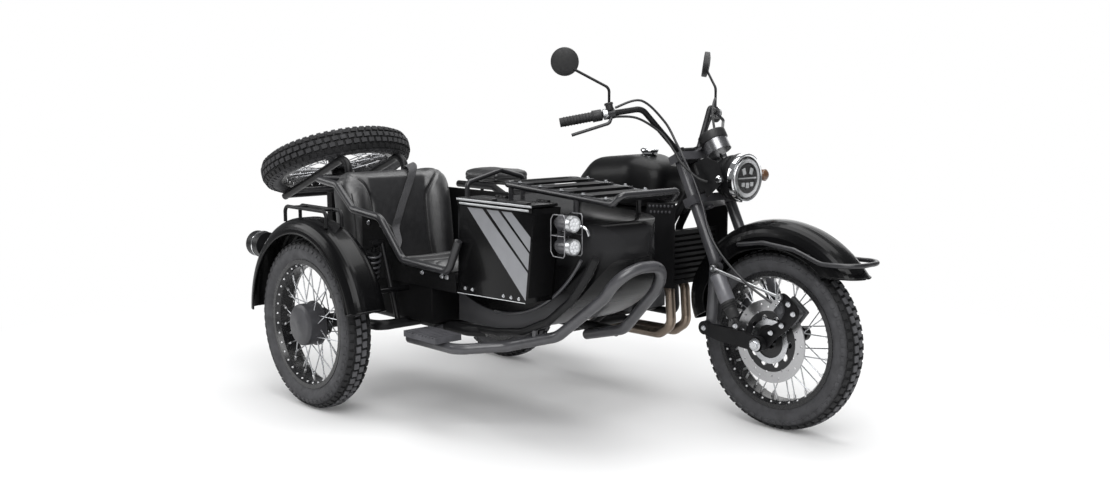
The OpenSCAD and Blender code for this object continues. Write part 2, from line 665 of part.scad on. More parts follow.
module side_box() color("#111113") placed() {
    difference() {
        translate([0, -box_in, 0]) rotate([90, 0, 0]) linear_extrude(tub_right - box_in) polygon(box_side(0));
        translate([0, -box_in - box_wall, 0.01]) rotate([90, 0, 0])
            linear_extrude(tub_right - box_in - 2 * box_wall) polygon(box_side(box_wall));
    }
    for (x = hinge_x) {
        rod([x, hinge_at.x, hinge_at.y], [x + 3 * knuckle_l, hinge_at.x, hinge_at.y], hinge_pin_r);
        for (u = [0, 2 * knuckle_l + 0.5]) {
            rod([x + u, hinge_at.x, hinge_at.y], [x + u + knuckle_l - 0.5, hinge_at.x, hinge_at.y], knuckle_r);
            translate([x + u, -box_in - box_wall, box_top - 10]) cube([knuckle_l - 0.5, box_wall - 0.5, 26]);
        }
    }
}

lid_gap = 5;
lid_t = 9;
lip_t = 3.5;
module box_lid() color("#a9abaf") placed() difference() {
    edge = -tub_right - lid_gap - 0.5;
    union() {
        translate([820, edge - lip_t, box_top + lid_gap])
            cube([395, hinge_at.x - knuckle_r - lid_gap - edge + lip_t, lid_t]);
        translate([820, edge - lip_t, box_top - 12]) cube([395, lip_t, 18]);
        for (x = hinge_x) {
            rod([x + knuckle_l, hinge_at.x, hinge_at.y], [x + 2 * knuckle_l, hinge_at.x, hinge_at.y], knuckle_r);
            translate([x + knuckle_l, hinge_at.x - knuckle_r - lid_gap - 2, hinge_at.y - 5])
                cube([knuckle_l, knuckle_r + lid_gap + 2, 5]);
        }
    }
    rod([800, hinge_at.x, hinge_at.y], [1230, hinge_at.x, hinge_at.y], hinge_pin_r + run);
}

// Rack: slopes down from its rear bar to its front bar
rack_rear = [880, 885];
rack_front = [1395, 848];
function rack_z(x) = rack_rear.y + (rack_front.y - rack_rear.y) * (x - rack_rear.x) / (rack_front.x - rack_rear.x);
rack_right = -720;
rack_left = -385;
rack_taper = 24;
// Top of the slats above the middle of the rack tubes
slat_up = rack_r + 2.5;
slat_w = 78;
function rack_in(x) = rack_taper * (x - rack_rear.x) / (rack_front.x - rack_rear.x);
module luggage_rack() color("#1d1d1f") placed() {
    low = [[rack_rear.x, rack_left, rack_rear.y], [rack_rear.x, rack_right, rack_rear.y],
        [rack_front.x, rack_right + rack_taper, rack_front.y], [rack_front.x, rack_left - rack_taper, rack_front.y]];
    hoop = [[rack_front.x + 30, rack_right + rack_taper + 4, rack_front.y + 30],
        [rack_front.x + 30, rack_left - rack_taper - 4, rack_front.y + 30]];
    join = (low[0] + low[3]) / 2;
    along = unit(low[3] - low[0]);
    tube(concat([join - along * 0.5], [low[0], low[1], low[2]], hoop, [low[3], join + along * 0.5]), rack_r, 22);
    rod(join - along * 12, join + along * 12, rack_r + bend_extra);
    for (x = [956, 1058, 1160, 1262, 1364])
        translate([x - slat_w / 2, rack_right + rack_in(x), rack_z(x) + slat_up - 8])
            cube([slat_w, rack_left - rack_right - 2 * rack_in(x), 8]);
    for (x = [910, 1230], y = [rack_right + rack_in(x), rack_left - rack_in(x)])
        rod([x, y, rack_z(x)], [x, y, deck_z + (well_x - x) * deck_fall + seat], 9);
}

crash_path = [[600, -945, 316], [875, -942, 316], [1000, -812, 330], [1180, -742, 382], [1385, -722, 540],
    [1468, -715, 645], [1460, -500, 636], [1400, -492, 540], [1230, -470, 378], [1000, -430, 318]];
module crash_bar() color("#3a3b3d") placed() {
    tube(crash_path, crash_r, 95);
    rod([1100, -bow_y, 400], [1100, -775, 358], 9);
    rod([622, -800, tube_z], [622, -945, 316], 13);
    rod([1060, -tub_left - 40, tube_z], [1030, -436, 322], 13);
}

module footstep() color("#19191b") placed() {
    translate([640, -1000, 316 + crash_r + seat]) difference() {
        cube([190, 115, 22]);
        for (i = [0:8]) translate([12 + i * 20, -1, 16]) cube([6, 117, 10]);
    }
}

spot_y = -802;
module spot_lamps() color("#202022") placed() {
    for (z = [709, 785]) translate([1262, spot_y, z]) rotate([0, 90, 0]) {
        cylinder(h = 62, r = 26);
        translate([0, 0, -20]) cylinder(h = 21, r1 = 14, r2 = 26);
    }
    translate([1250, spot_y - 6, 692]) cube([8, 12, 110]);
    cross_rod(1254, 745, spot_y, -well_right + nose_draw * 31 / (nose_x - nose_right - 1215) - seat, 8);
}

module seat_rail() color("#1d1d1f") placed() {
    y = -tub_right - rail_r - seat;
    // Past the seat back the rail stands further out
    out = -back_right - rail_r - 3;
    tube([[stern_x, -790, 850], [stern_x + 30, out, 862], [102, out, 846], [215, out, 757], [400, out, 741],
          [490, y, 585], [772, y, 576], [832, y, 690]], rail_r, 40);
    tube([[well_x + 12, rack_right, deck_z + seat], [well_x + 12, rack_right, 876], [well_x + 12, -560, 915],
          [well_x + 12, -450, 885], [well_x + 12, -450, deck_z + seat]], 9, 20);
}

module sidecar_fender() color("#101012") placed() {
    mudguard(side_axle, 14, 178, side_fender_r, 52, side_fender_out - sidecar_track,
             sidecar_track - side_fender_in, 352, 305);
    cross_rod(500, 482, -side_fender_in - 2, -tub_right - seat, 10);
    cross_rod(stern_x, 560, -side_fender_in - 2, upright_y[1] - 16 - seat, 10);
}

module fender_rack() color("#1d1d1f") placed() {
    z = tyre_r + side_fender_r;
    for (y = [-side_fender_out + 45, -side_fender_in - 45])
        tube([[side_axle.x - 150, y, z - 26], [side_axle.x - 150, y, z + 34], [side_axle.x + 150, y, z + 34],
              [side_axle.x + 150, y, z - 26]], 7, 24);
    for (x = [-90, 90]) cross_rod(side_axle.x + x, z + 34, -side_fender_out + 45, -side_fender_in - 45, 6);
}

module spare_carrier() color("#1b1b1d") placed() {
    under = -tyre_w / 2 - 16 - seat;
    along = [cos(spare_tilt), 0, sin(spare_tilt)];
    out = [-sin(spare_tilt), 0, cos(spare_tilt)];
    flat_at = [spare_at.x, 0, spare_at.z] + out * under;
    knee = flat_at + along * (stern_x - flat_at.x) / along.x;
    for (y = upright_y) tube([[stern_x, y, tube_z + chassis_r - 4 + seat], [stern_x, y, knee.z],
        [flat_at.x - 255 * along.x, y, flat_at.z - 255 * along.z]], 16, 50);
    for (u = [-240, 0]) cross_rod(flat_at.x + u * along.x, flat_at.z + u * along.z, upright_y[1], upright_y[0], 13);
    cross_rod(stern_x, 760, upright_y[1], upright_y[0], 13);
    on_spare() {
        translate([0, 0, under]) cylinder(h = -under - hub_half - seat, r = 32);
        translate([0, 0, under]) cylinder(h = -under + hub_half + 14, r = axle_r - 0.5);
        translate([0, 0, hub_half + seat]) cylinder(h = 12, r = 18);
    }
}

main_frame();
engine();
air_box();
radiator();
exhaust();
fuel_tank();
tank_cap();
rider_saddle();
pillion_pad();
rear_fender();
tail_lamps();
swingarm();
shocks();
sidecar_frame();
tub_nose();
seat_tub();
side_box();
box_lid();
luggage_rack();
crash_bar();
spot_lamps();
seat_cushion();
seat_back();
seat_rail();
sidecar_fender();
fender_rack();
footstep();
spare_carrier();
spare_tyre();
spare_rim();
fork();
leading_links();
front_shocks();
front_fender();
fender_guard();
headlamp();
gauge();
handlebar();
grips();
levers();
mirrors();
calliper();
turn_lamp();
front_tyre();
front_rim();
front_disc();
rear_tyre();
rear_rim();
sidecar_tyre();
sidecar_rim();
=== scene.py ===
"""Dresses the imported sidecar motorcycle: tyres with tread, seats, lamps, trim, fasteners and finishes."""
import json
import math

import bpy
from bpy.props import FloatProperty, FloatVectorProperty, IntProperty, PointerProperty
from mathutils import Matrix, Vector


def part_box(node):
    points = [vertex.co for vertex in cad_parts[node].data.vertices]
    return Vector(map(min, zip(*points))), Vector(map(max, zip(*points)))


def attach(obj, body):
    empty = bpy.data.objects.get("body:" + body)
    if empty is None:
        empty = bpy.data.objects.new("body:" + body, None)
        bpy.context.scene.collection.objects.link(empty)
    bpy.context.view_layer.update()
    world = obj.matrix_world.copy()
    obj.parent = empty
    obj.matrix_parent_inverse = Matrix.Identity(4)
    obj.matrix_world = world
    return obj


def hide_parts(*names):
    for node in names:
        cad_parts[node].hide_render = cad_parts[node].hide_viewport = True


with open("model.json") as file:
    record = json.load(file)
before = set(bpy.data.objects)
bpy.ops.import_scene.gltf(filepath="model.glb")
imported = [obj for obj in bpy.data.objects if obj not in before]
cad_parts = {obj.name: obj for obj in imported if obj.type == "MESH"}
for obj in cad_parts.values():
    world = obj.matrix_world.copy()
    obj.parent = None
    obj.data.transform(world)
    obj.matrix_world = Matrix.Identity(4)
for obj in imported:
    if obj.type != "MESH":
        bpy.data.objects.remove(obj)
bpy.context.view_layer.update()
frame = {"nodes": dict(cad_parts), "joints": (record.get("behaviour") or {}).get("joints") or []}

bl_info = {
    "name": "Sidecar Motorcycle Dressing",
    "version": (1, 0, 0),
    "blender": (4, 5, 0),
    "location": "View3D > Sidebar > Outfit",
    "description": "Adds tread, upholstery, lamps, trim and finishes to a sidecar motorcycle",
    "category": "Object",
}

# The CAD places are in millimetres from the ground point under the rear axle
REAR_SPIN = next(joint for joint in frame["joints"] if joint["name"] == "rear_wheel_spin")
MIDDLE = Vector((-1000 * REAR_SPIN["pos_m"][0], -1000 * REAR_SPIN["pos_m"][1], 0))
RAKE = math.radians(26)
HEAD = Vector((1130, 0, 949))
FRONT_AXLE = (1560, 0, 328)
REAR_AXLE = (0, 0, 328)
SIDE_AXLE = (180, -1090, 328)
SPARE_AT = (-400, -620, 902)
SPARE_TILT = math.radians(21.5)


def at(x, y, z):
    """A place in the frame, in metres, from millimetres in the CAD's own layout."""
    return (Vector((x, y, z)) - MIDDLE) / 1000


def upright_wheel(place):
    """Local Z of a wheel model runs along the axle."""
    return Matrix.Translation(at(*place)) @ Matrix.Rotation(math.radians(-90), 4, "X")


BOW = (880, 0, 940)
SPARE_PLACE = Matrix.Translation(at(*SPARE_AT)) @ Matrix.Rotation(-SPARE_TILT, 4, "Y")
HEAD_PLACE = Matrix.Translation(at(*HEAD)) @ Matrix.Rotation(-RAKE, 4, "Y")


class OutfitFinish(bpy.types.PropertyGroup):
    """Colours of the painted, metal and soft surfaces."""
    gloss_paint: FloatVectorProperty(
        name="Gloss paint", description="Colour of the enamelled bodywork", subtype="COLOR",
        size=3, min=0, max=1, default=(0.0032, 0.0032, 0.0035))
    satin_paint: FloatVectorProperty(
        name="Satin paint", description="Colour of the powder-coated tubes", subtype="COLOR",
        size=3, min=0, max=1, default=(0.0062, 0.0062, 0.0068))
    leather: FloatVectorProperty(
        name="Leather", description="Colour of the seats", subtype="COLOR",
        size=3, min=0, max=1, default=(0.0085, 0.0085, 0.0095))
    stripe: FloatVectorProperty(
        name="Stripes", description="Colour of the stripes on the side box", subtype="COLOR",
        size=3, min=0, max=1, default=(0.235, 0.24, 0.255))
    rubber: FloatVectorProperty(
        name="Tyre rubber", description="Colour of the tyres", subtype="COLOR",
        size=3, min=0, max=1, default=(0.048, 0.048, 0.051))
    amber: FloatVectorProperty(
        name="Turn lamps", description="Colour of the turn lamp lenses", subtype="COLOR",
        size=3, min=0, max=1, default=(0.17, 0.080, 0.036))


class OutfitSizes(bpy.types.PropertyGroup):
    """Sizes of the added pieces."""
    tread_blocks: IntProperty(
        name="Tread blocks", description="Blocks in each row round a tyre", default=60, min=24, max=72)
    tread_depth: FloatProperty(
        name="Tread depth", description="Height of a tread block", default=0.0095, min=0.004, max=0.012,
        unit="LENGTH")
    puff: FloatProperty(
        name="Seat crown", description="How far the padding may swell", default=0.016, min=0, max=0.03,
        unit="LENGTH")
    piping: FloatProperty(
        name="Piping", description="Radius of the seat piping", default=0.0042, min=0.002, max=0.008,
        unit="LENGTH")
    cable: FloatProperty(
        name="Cable", description="Radius of a control cable", default=0.0046, min=0.002, max=0.006,
        unit="LENGTH")


def sizes():
    return bpy.context.scene.outfit_sizes


def colours():
    return bpy.context.scene.outfit_finish


# Selecting and shaping
def clear_selection():
    active = bpy.context.view_layer.objects.active
    if active and active.mode != "OBJECT":
        bpy.ops.object.mode_set(mode="OBJECT")
    bpy.ops.object.select_all(action="DESELECT")


def activate(obj):
    clear_selection()
    obj.select_set(True)
    bpy.context.view_layer.objects.active = obj


def add(kind, **settings):
    clear_selection()
    getattr(bpy.ops.mesh, f"primitive_{kind}_add")(**settings)
    return bpy.context.object


def modify(obj, kind, **settings):
    step = obj.modifiers.new(kind.title(), kind)
    for key, value in settings.items():
        setattr(step, key, value)
    activate(obj)
    bpy.ops.object.modifier_apply(modifier=step.name)
    return obj


def edit_all(obj):
    activate(obj)
    bpy.ops.object.mode_set(mode="EDIT")
    bpy.ops.mesh.select_all(action="SELECT")


def recalculate(obj, merge=1e-5):
    edit_all(obj)
    bpy.ops.mesh.remove_doubles(threshold=merge)
    bpy.ops.mesh.normals_make_consistent(inside=False)
    bpy.ops.object.mode_set(mode="OBJECT")
    return obj


def smooth(obj, degrees=35):
    activate(obj)
    bpy.ops.object.shade_smooth_by_angle(angle=math.radians(degrees))
    return obj


def moved(obj, matrix):
    """Puts a model that was made round the origin at its place in the frame."""
    obj.data.transform(matrix)
    if matrix.determinant() < 0:
        recalculate(obj)
    return obj


def lathe(profile, steps, matrix=None, degrees=35):
    """Spins a profile of (radius, height) points round local Z."""
    closed = profile[0] == profile[-1]
    points = profile[:-1] if closed else profile
    obj = add("circle", vertices=len(points), radius=1)
    for vertex, (radius, height) in zip(obj.data.vertices, points):
        vertex.co = (radius, 0, height)
    edit_all(obj)
    if not closed:
        bpy.ops.mesh.select_all(action="DESELECT")
        bpy.ops.object.mode_set(mode="OBJECT")
        last = len(points) - 1
        for edge in obj.data.edges:
            edge.select = set(edge.vertices) == {0, last}
        bpy.ops.object.mode_set(mode="EDIT")
        bpy.ops.mesh.select_mode(type="EDGE")
        bpy.ops.mesh.delete(type="EDGE_FACE")
        bpy.ops.mesh.select_mode(type="VERT")
    bpy.ops.mesh.select_all(action="SELECT")
    bpy.ops.mesh.spin(steps=steps, angle=2 * math.pi, center=(0, 0, 0), axis=(0, 0, 1))
    bpy.ops.object.mode_set(mode="OBJECT")
    recalculate(obj)
    smooth(obj, degrees)
    return moved(obj, matrix) if matrix else obj


def aim(place, direction, roll=0.0):
    """A matrix that puts local Z along a direction at a place in the frame."""
    turn = Vector(direction).to_track_quat("Z", "Y").to_matrix().to_4x4()
    return Matrix.Translation(place) @ turn @ Matrix.Rotation(roll, 4, "Z")


def through(points, count=10):
    """A smooth line through the points."""
    line = []
    for i in range(len(points) - 1):
        a, b, c, d = (points[max(0, min(len(points) - 1, i + k))] for k in (-1, 0, 1, 2))
        for j in range(count):
            t = j / count
            line.append(0.5 * (2 * b + (c - a) * t + (2 * a - 5 * b + 4 * c - d) * t * t
                               + (3 * b - a - 3 * c + d) * t ** 3))
    return line + [points[-1]]


def pipe(line, radius, closed=False, sides=5):
    """A round tube along a line of points, as a mesh."""
    data = bpy.data.curves.new("pipe", "CURVE")
    data.dimensions = "3D"
    spline = data.splines.new("POLY")
    spline.points.add(len(line) - 1)
    for point, place in zip(spline.points, line):
        point.co = (*place, 1)
    spline.use_cyclic_u = closed
    data.bevel_depth = radius
    data.bevel_resolution = sides - 2
    data.use_fill_caps = not closed
    obj = bpy.data.objects.new("pipe", data)
    bpy.context.scene.collection.objects.link(obj)
    activate(obj)
    bpy.ops.object.convert(target="MESH")
    obj = bpy.context.object
    recalculate(obj)
    return smooth(obj, 50)


def sheet_patch(corners, thickness):
    """A flat plate with the given outline, thickened along its own normal."""
    obj = add("circle", vertices=len(corners), radius=1, fill_type="NGON")
    for vertex, place in zip(obj.data.vertices, corners):
        vertex.co = place
    edit_all(obj)
    bpy.ops.mesh.extrude_region_move()
    bpy.ops.object.mode_set(mode="OBJECT")
    normal = (corners[1] - corners[0]).cross(corners[2] - corners[0]).normalized()
    for vertex in obj.data.vertices:
        if vertex.select:
            vertex.co = vertex.co + normal * thickness
    return recalculate(obj)


def slab(size, place, bevel, segments=2):
    """A small box with rounded edges, made round the origin and put at its place."""
    obj = add("cube", size=1)
    obj.data.transform(Matrix.Diagonal((*size, 1)))
    modify(obj, "BEVEL", width=bevel, segments=segments)
    obj.data.transform(place)
    return obj


def copies(model, places):
    """Copies one model to each place, each with its own mesh, and joins the copies into one piece."""
    made = []
    for matrix in places:
        twin = model.copy()
        twin.data = model.data.copy()
        twin.data.transform(matrix)
        bpy.context.scene.collection.objects.link(twin)
        made.append(twin)
    bpy.data.objects.remove(model)
    return joined(made)


def joined(objects):
    clear_selection()
    for obj in objects:
        obj.select_set(True)
    bpy.context.view_layer.objects.active = objects[0]
    if len(objects) > 1:
        bpy.ops.object.join()
    return bpy.context.view_layer.objects.active


def piece(obj, name, body, finish, replaces=()):
    """Names a finished piece, gives it its finish and lets it ride on its body."""
    obj.name = name
    obj.data.name = name
    obj.data.materials.clear()
    obj.data.materials.append(finish)
    if replaces:
        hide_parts(*replaces)
    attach(obj, body)
    return obj


def copy_of(node):
    """A merged copy of a CAD node's mesh."""
    source = frame["nodes"][node]
    twin = bpy.data.objects.new(f"{node}_copy", source.data.copy())
    bpy.context.scene.collection.objects.link(twin)
    twin.data.transform(source.matrix_world)
    twin.data.materials.clear()
    return recalculate(twin, 2e-5)


def soften(node, name, body, finish, width=0.004, segments=3, degrees=28):
    """The CAD form of a panel with its corners rounded over."""
    obj = copy_of(node)
    edit_all(obj)
    bpy.ops.mesh.dissolve_limited(angle_limit=math.radians(0.6))
    bpy.ops.object.mode_set(mode="OBJECT")
    modify(obj, "BEVEL", width=width, segments=segments, limit_method="ANGLE",
           angle_limit=math.radians(degrees), use_clamp_overlap=True, harden_normals=False)
    smooth(obj, 40)
    return piece(obj, name, body, finish, (node,))


# Finishes
class Nodes:
    """Short names for building a material's nodes."""

    def __init__(self, name):
        self.material = bpy.data.materials.new(name)
        self.material.use_nodes = True
        self.tree = self.material.node_tree
        self.shader = self.tree.nodes["Principled BSDF"]
        self.place = self.add("ShaderNodeTexCoord").outputs["Object"]

    def add(self, kind, **settings):
        node = self.tree.nodes.new(kind)
        for key, value in settings.items():
            setattr(node, key, value)
        return node

    def link(self, source, target):
        self.tree.links.new(source, target)

    def put(self, **values):
        for key, value in values.items():
            self.shader.inputs[key.replace("_", " ")].default_value = value

    def noise(self, scale, detail=4.0, rough=0.55, stretch=None, place=None):
        source = place or self.place
        if stretch:
            mapping = self.add("ShaderNodeMapping")
            mapping.inputs["Scale"].default_value = stretch
            self.link(source, mapping.inputs["Vector"])
            source = mapping.outputs["Vector"]
        node = self.add("ShaderNodeTexNoise")
        node.inputs["Scale"].default_value = scale
        node.inputs["Detail"].default_value = detail
        node.inputs["Roughness"].default_value = rough
        self.link(source, node.inputs["Vector"])
        return node.outputs["Fac"]

    def cells(self, scale, feature="F1"):
        node = self.add("ShaderNodeTexVoronoi", feature=feature)
        node.inputs["Scale"].default_value = scale
        self.link(self.place, node.inputs["Vector"])
        return node.outputs["Distance"]

    def spread(self, source, low, high, start=0.3, end=0.7):
        node = self.add("ShaderNodeMapRange")
        for key, value in (("From Min", start), ("From Max", end), ("To Min", low), ("To Max", high)):
            node.inputs[key].default_value = value
        self.link(source, node.inputs["Value"])
        return node.outputs["Result"]

    def ramp(self, source, stops, step=False):
        node = self.add("ShaderNodeValToRGB")
        node.color_ramp.interpolation = "CONSTANT" if step else "LINEAR"
        points = node.color_ramp.elements
        while len(points) < len(stops):
            points.new(0.5)
        # A point may shift while its neighbours are set, so the places are set twice
        for point, (where, _) in zip(points, stops):
            point.position = where
        for point, (where, colour) in zip(points, stops):
            point.position = where
            point.color = (*colour, 1) if len(colour) == 3 else colour
        self.link(source, node.inputs["Fac"])
        return node.outputs["Color"]

    def colour(self, source):
        self.link(source, self.shader.inputs["Base Color"])

    def roughness(self, source):
        self.link(source, self.shader.inputs["Roughness"])

    def bump(self, height, strength, distance):
        node = self.add("ShaderNodeBump")
        node.inputs["Strength"].default_value = strength
        node.inputs["Distance"].default_value = distance
        self.link(height, node.inputs["Height"])
        last = self.shader.inputs["Normal"].links
        if last:
            self.link(last[0].from_socket, node.inputs["Normal"])
        self.link(node.outputs["Normal"], self.shader.inputs["Normal"])

    def from_axle(self, matrix):
        """Distance from a wheel's axle."""
        mapping = self.add("ShaderNodeMapping", vector_type="TEXTURE")
        mapping.inputs["Location"].default_value = matrix.to_translation()
        mapping.inputs["Rotation"].default_value = matrix.to_euler()
        self.link(self.place, mapping.inputs["Vector"])
        flat = self.add("ShaderNodeVectorMath", operation="MULTIPLY")
        flat.inputs[1].default_value = (1, 1, 0)
        self.link(mapping.outputs["Vector"], flat.inputs[0])
        length = self.add("ShaderNodeVectorMath", operation="LENGTH")
        self.link(flat.outputs["Vector"], length.inputs[0])
        return length.outputs["Value"]


def shade(colour, factor):
    return tuple(min(1.0, c * factor) for c in colour)


MADE = {}


def finish(name):
    """Makes each finish once."""
    if name not in MADE:
        MADE[name] = FINISHES[name]()
    return MADE[name]


def gloss_paint(name="gloss_paint", rough=(0.20, 0.26), spec=0.12, coat=0.10):
    n = Nodes(name)
    base = tuple(colours().gloss_paint)
    n.colour(n.ramp(n.noise(7, 3), [(0.35, shade(base, 0.85)), (0.7, shade(base, 1.25))]))
    n.roughness(n.spread(n.noise(9, 2), *rough))
    n.put(Specular_IOR_Level=spec, Coat_Weight=coat, Coat_Roughness=0.06)
    n.bump(n.noise(240, 2), 0.012, 0.0003)
    return n.material


def bow_paint_and_reflection():
    """Black paint that pales towards the keel below the flange, partly a satin grey and partly a painted
    reflection of the floor, with a painted reflection of a light on the nose bulge above it.
    """
    n = Nodes("bow_paint_and_reflection")
    base = tuple(colours().gloss_paint)
    split = n.add("ShaderNodeSeparateXYZ")
    n.link(n.place, split.inputs[0])
    # Painted reflection: below the flange the black pales towards the keel, partly satin grey and partly a
    # painted reflection of the floor
    low = n.add("ShaderNodeMath", operation="MULTIPLY")
    n.link(n.spread(n.from_axle(upright_wheel(BOW)), 0, 1, 0.510, 0.516), low.inputs[0])
    n.link(n.spread(split.outputs[2], 1, 0, 0.36, 0.54), low.inputs[1])
    # Painted reflection of a light: a paler band across the nose bulge
    bulge = n.add("ShaderNodeMath", operation="MULTIPLY")
    n.link(n.spread(split.outputs[2], 0, 0.16, 0.63, 0.69), bulge.inputs[0])
    n.link(n.spread(split.outputs[2], 1, 0, 0.745, 0.785), bulge.inputs[1])
    keel_satin_and_painted_reflection = n.add("ShaderNodeMath", operation="MAXIMUM")
    n.link(low.outputs[0], keel_satin_and_painted_reflection.inputs[0])
    n.link(bulge.outputs[0], keel_satin_and_painted_reflection.inputs[1])
    n.colour(n.ramp(keel_satin_and_painted_reflection.outputs[0], [(0, base), (1, (0.13, 0.13, 0.136))]))
    n.roughness(n.spread(low.outputs[0], 0.22, 0.38, 0, 1))
    n.put(Specular_IOR_Level=0.09, Coat_Weight=0.03, Coat_Roughness=0.06)
    n.bump(n.noise(240, 2), 0.012, 0.0003)
    return n.material


def satin_paint(name="satin_paint", factor=1.0, rough=(0.34, 0.5), spec=0.22, grain=0.08):
    n = Nodes(name)
    base = shade(tuple(colours().satin_paint), factor)
    n.colour(n.ramp(n.noise(16, 4), [(0.3, shade(base, 0.8)), (0.7, shade(base, 1.35))]))
    n.roughness(n.spread(n.noise(30, 5), *rough))
    n.put(Specular_IOR_Level=spec)
    n.bump(n.noise(900, 2), grain, 0.0004)
    return n.material


def rack_paint():
    """Black slats between the shiny tubes of the luggage rack."""
    n = Nodes("rack_paint")
    base = tuple(colours().satin_paint)
    split = n.add("ShaderNodeSeparateXYZ")
    n.link(n.place, split.inputs[0])
    middle = at(1403, -552.5, 0)
    across = n.add("ShaderNodeMath", operation="SUBTRACT")
    across.inputs[1].default_value = middle.y
    n.link(split.outputs[1], across.inputs[0])
    away = n.add("ShaderNodeMath", operation="ABSOLUTE")
    n.link(across.outputs[0], away.inputs[0])
    tube = n.add("ShaderNodeMath", operation="MAXIMUM")
    n.link(n.spread(away.outputs[0], 0, 1, 0.130, 0.134), tube.inputs[0])
    n.link(n.spread(split.outputs[0], 0, 1, middle.x, middle.x + 0.004), tube.inputs[1])
    n.colour(n.ramp(tube.outputs[0], [(0, shade(base, 0.9)), (1, shade(base, 3.0))]))
    n.roughness(n.spread(tube.outputs[0], 0.46, 0.27, 0, 1))
    n.link(n.spread(tube.outputs[0], 0.08, 0.6, 0, 1), n.shader.inputs["Specular IOR Level"])
    n.bump(n.noise(900, 2), 0.02, 0.0004)
    return n.material


def pebbled_panel():
    n = Nodes("pebbled_panel")
    base = shade(tuple(colours().satin_paint), 0.5)
    n.colour(n.ramp(n.cells(300), [(0.1, shade(base, 1.5)), (0.7, shade(base, 0.8))]))
    n.roughness(n.spread(n.noise(60, 4), 0.42, 0.58))
    n.put(Specular_IOR_Level=0.10)
    n.bump(n.cells(300), 0.35, 0.0009)
    return n.material


def leather():
    n = Nodes("seat_leather")
    base = tuple(colours().leather)
    n.colour(n.ramp(n.noise(9, 6), [(0.3, shade(base, 0.75)), (0.72, shade(base, 1.5))]))
    n.roughness(n.spread(n.noise(45, 4), 0.34, 0.45))
    n.put(Specular_IOR_Level=1.0, Sheen_Weight=0.05)
    n.bump(n.cells(420), 0.32, 0.0008)
    n.bump(n.noise(34, 5, stretch=(1, 1, 2.2)), 0.12, 0.003)
    return n.material


def tyre_rubber(name, matrix, tread_top_tone):
    """Rubber with painted shade between the blocks, and block tops of a tone set per tyre: lighter on the
    road wheels, darker as painted shade on the spare.
    """
    n = Nodes(name)
    base = tuple(colours().rubber)
    away = n.from_axle(matrix)
    # Painted shade: the rubber darkens between the blocks, from 0.80 to 0.91 of the way along the ramp
    tone_with_groove_shade = n.ramp(n.spread(away, 0, 1, 0.23, 0.33),
                  [(0.0, shade(base, 1.25)), (0.72, shade(base, 1.15)), (0.80, shade(base, 0.36)),
                                                      (0.91, shade(base, 0.32)), (0.965, shade(base, tread_top_tone))])
    mottle = n.add("ShaderNodeMix", data_type="RGBA", blend_type="MULTIPLY")
    mottle.inputs["Factor"].default_value = 1.0
    n.link(tone_with_groove_shade, mottle.inputs["A"])
    n.link(n.ramp(n.noise(26, 5), [(0.3, (0.75, 0.75, 0.75)), (0.75, (1.3, 1.3, 1.3))]), mottle.inputs["B"])
    n.colour(mottle.outputs["Result"])
    n.roughness(n.spread(n.noise(60, 5), 0.62, 0.82))
    n.put(Specular_IOR_Level=0.3)
    rings = n.add("ShaderNodeMath", operation="SINE")
    pitch = n.add("ShaderNodeMath", operation="MULTIPLY")
    pitch.inputs[1].default_value = 1150
    n.link(away, pitch.inputs[0])
    n.link(pitch.outputs[0], rings.inputs[0])
    n.bump(rings.outputs[0], 0.10, 0.0008)
    n.bump(n.noise(700, 3), 0.12, 0.0005)
    return n.material


def wheel_metal(name, matrix):
    """Black rim, plated spokes and a dark hub, told apart by their distance from the axle."""
    n = Nodes(name)
    reach = 0.3
    hub, rim = 0.058 / reach, 0.2175 / reach
    radius = n.spread(n.from_axle(matrix), 0, 1, 0, reach)
    n.colour(n.ramp(radius,
                    [(0, (0.035, 0.036, 0.038)), (hub, (0.56, 0.57, 0.59)), (rim, (0.012, 0.012, 0.013))],
                    True))
    metal = n.ramp(radius, [(0, (0.6, 0.6, 0.6)), (hub, (1, 1, 1)), (rim, (0, 0, 0))], True)
    n.link(metal, n.shader.inputs["Metallic"])
    n.roughness(n.spread(n.noise(120, 4), 0.2, 0.36))
    n.bump(n.noise(500, 3), 0.05, 0.0004)
    return n.material


def brake_disc(name, matrix):
    n = Nodes(name)
    away = n.from_axle(matrix)
    reach = 0.3
    band = 0.110 / reach
    radius = n.spread(away, 0, 1, 0, reach)
    n.colour(n.ramp(radius, [(0, (0.02, 0.02, 0.021)), (band, (0.56, 0.56, 0.57))], True))
    metal = n.ramp(radius, [(0, (0.2, 0.2, 0.2)), (band, (1, 1, 1))], True)
    n.link(metal, n.shader.inputs["Metallic"])
    rings = n.add("ShaderNodeCombineXYZ")
    n.link(away, rings.inputs[0])
    n.roughness(n.spread(n.noise(900, 3, place=rings.outputs[0]), 0.22, 0.42))
    return n.material


def bare_metal(name, colour, rough, grain=420, stretch=None, strength=0.06):
    n = Nodes(name)
    n.colour(n.ramp(n.noise(18, 4), [(0.3, shade(colour, 0.86)), (0.7, shade(colour, 1.1))]))
    n.put(Metallic=1.0)
    n.roughness(n.spread(n.noise(grain, 4, stretch=stretch), *rough))
    n.bump(n.noise(grain, 3, stretch=stretch), strength, 0.0004)
    return n.material


def engine_casting():
    n = Nodes("engine_casting")
    base = (0.055, 0.056, 0.06)
    n.colour(n.ramp(n.noise(24, 5), [(0.3, shade(base, 0.7)), (0.7, shade(base, 1.4))]))
    n.put(Metallic=0.45)
    n.roughness(n.spread(n.noise(70, 5), 0.38, 0.58))
    n.bump(n.noise(650, 4), 0.22, 0.0008)
    return n.material


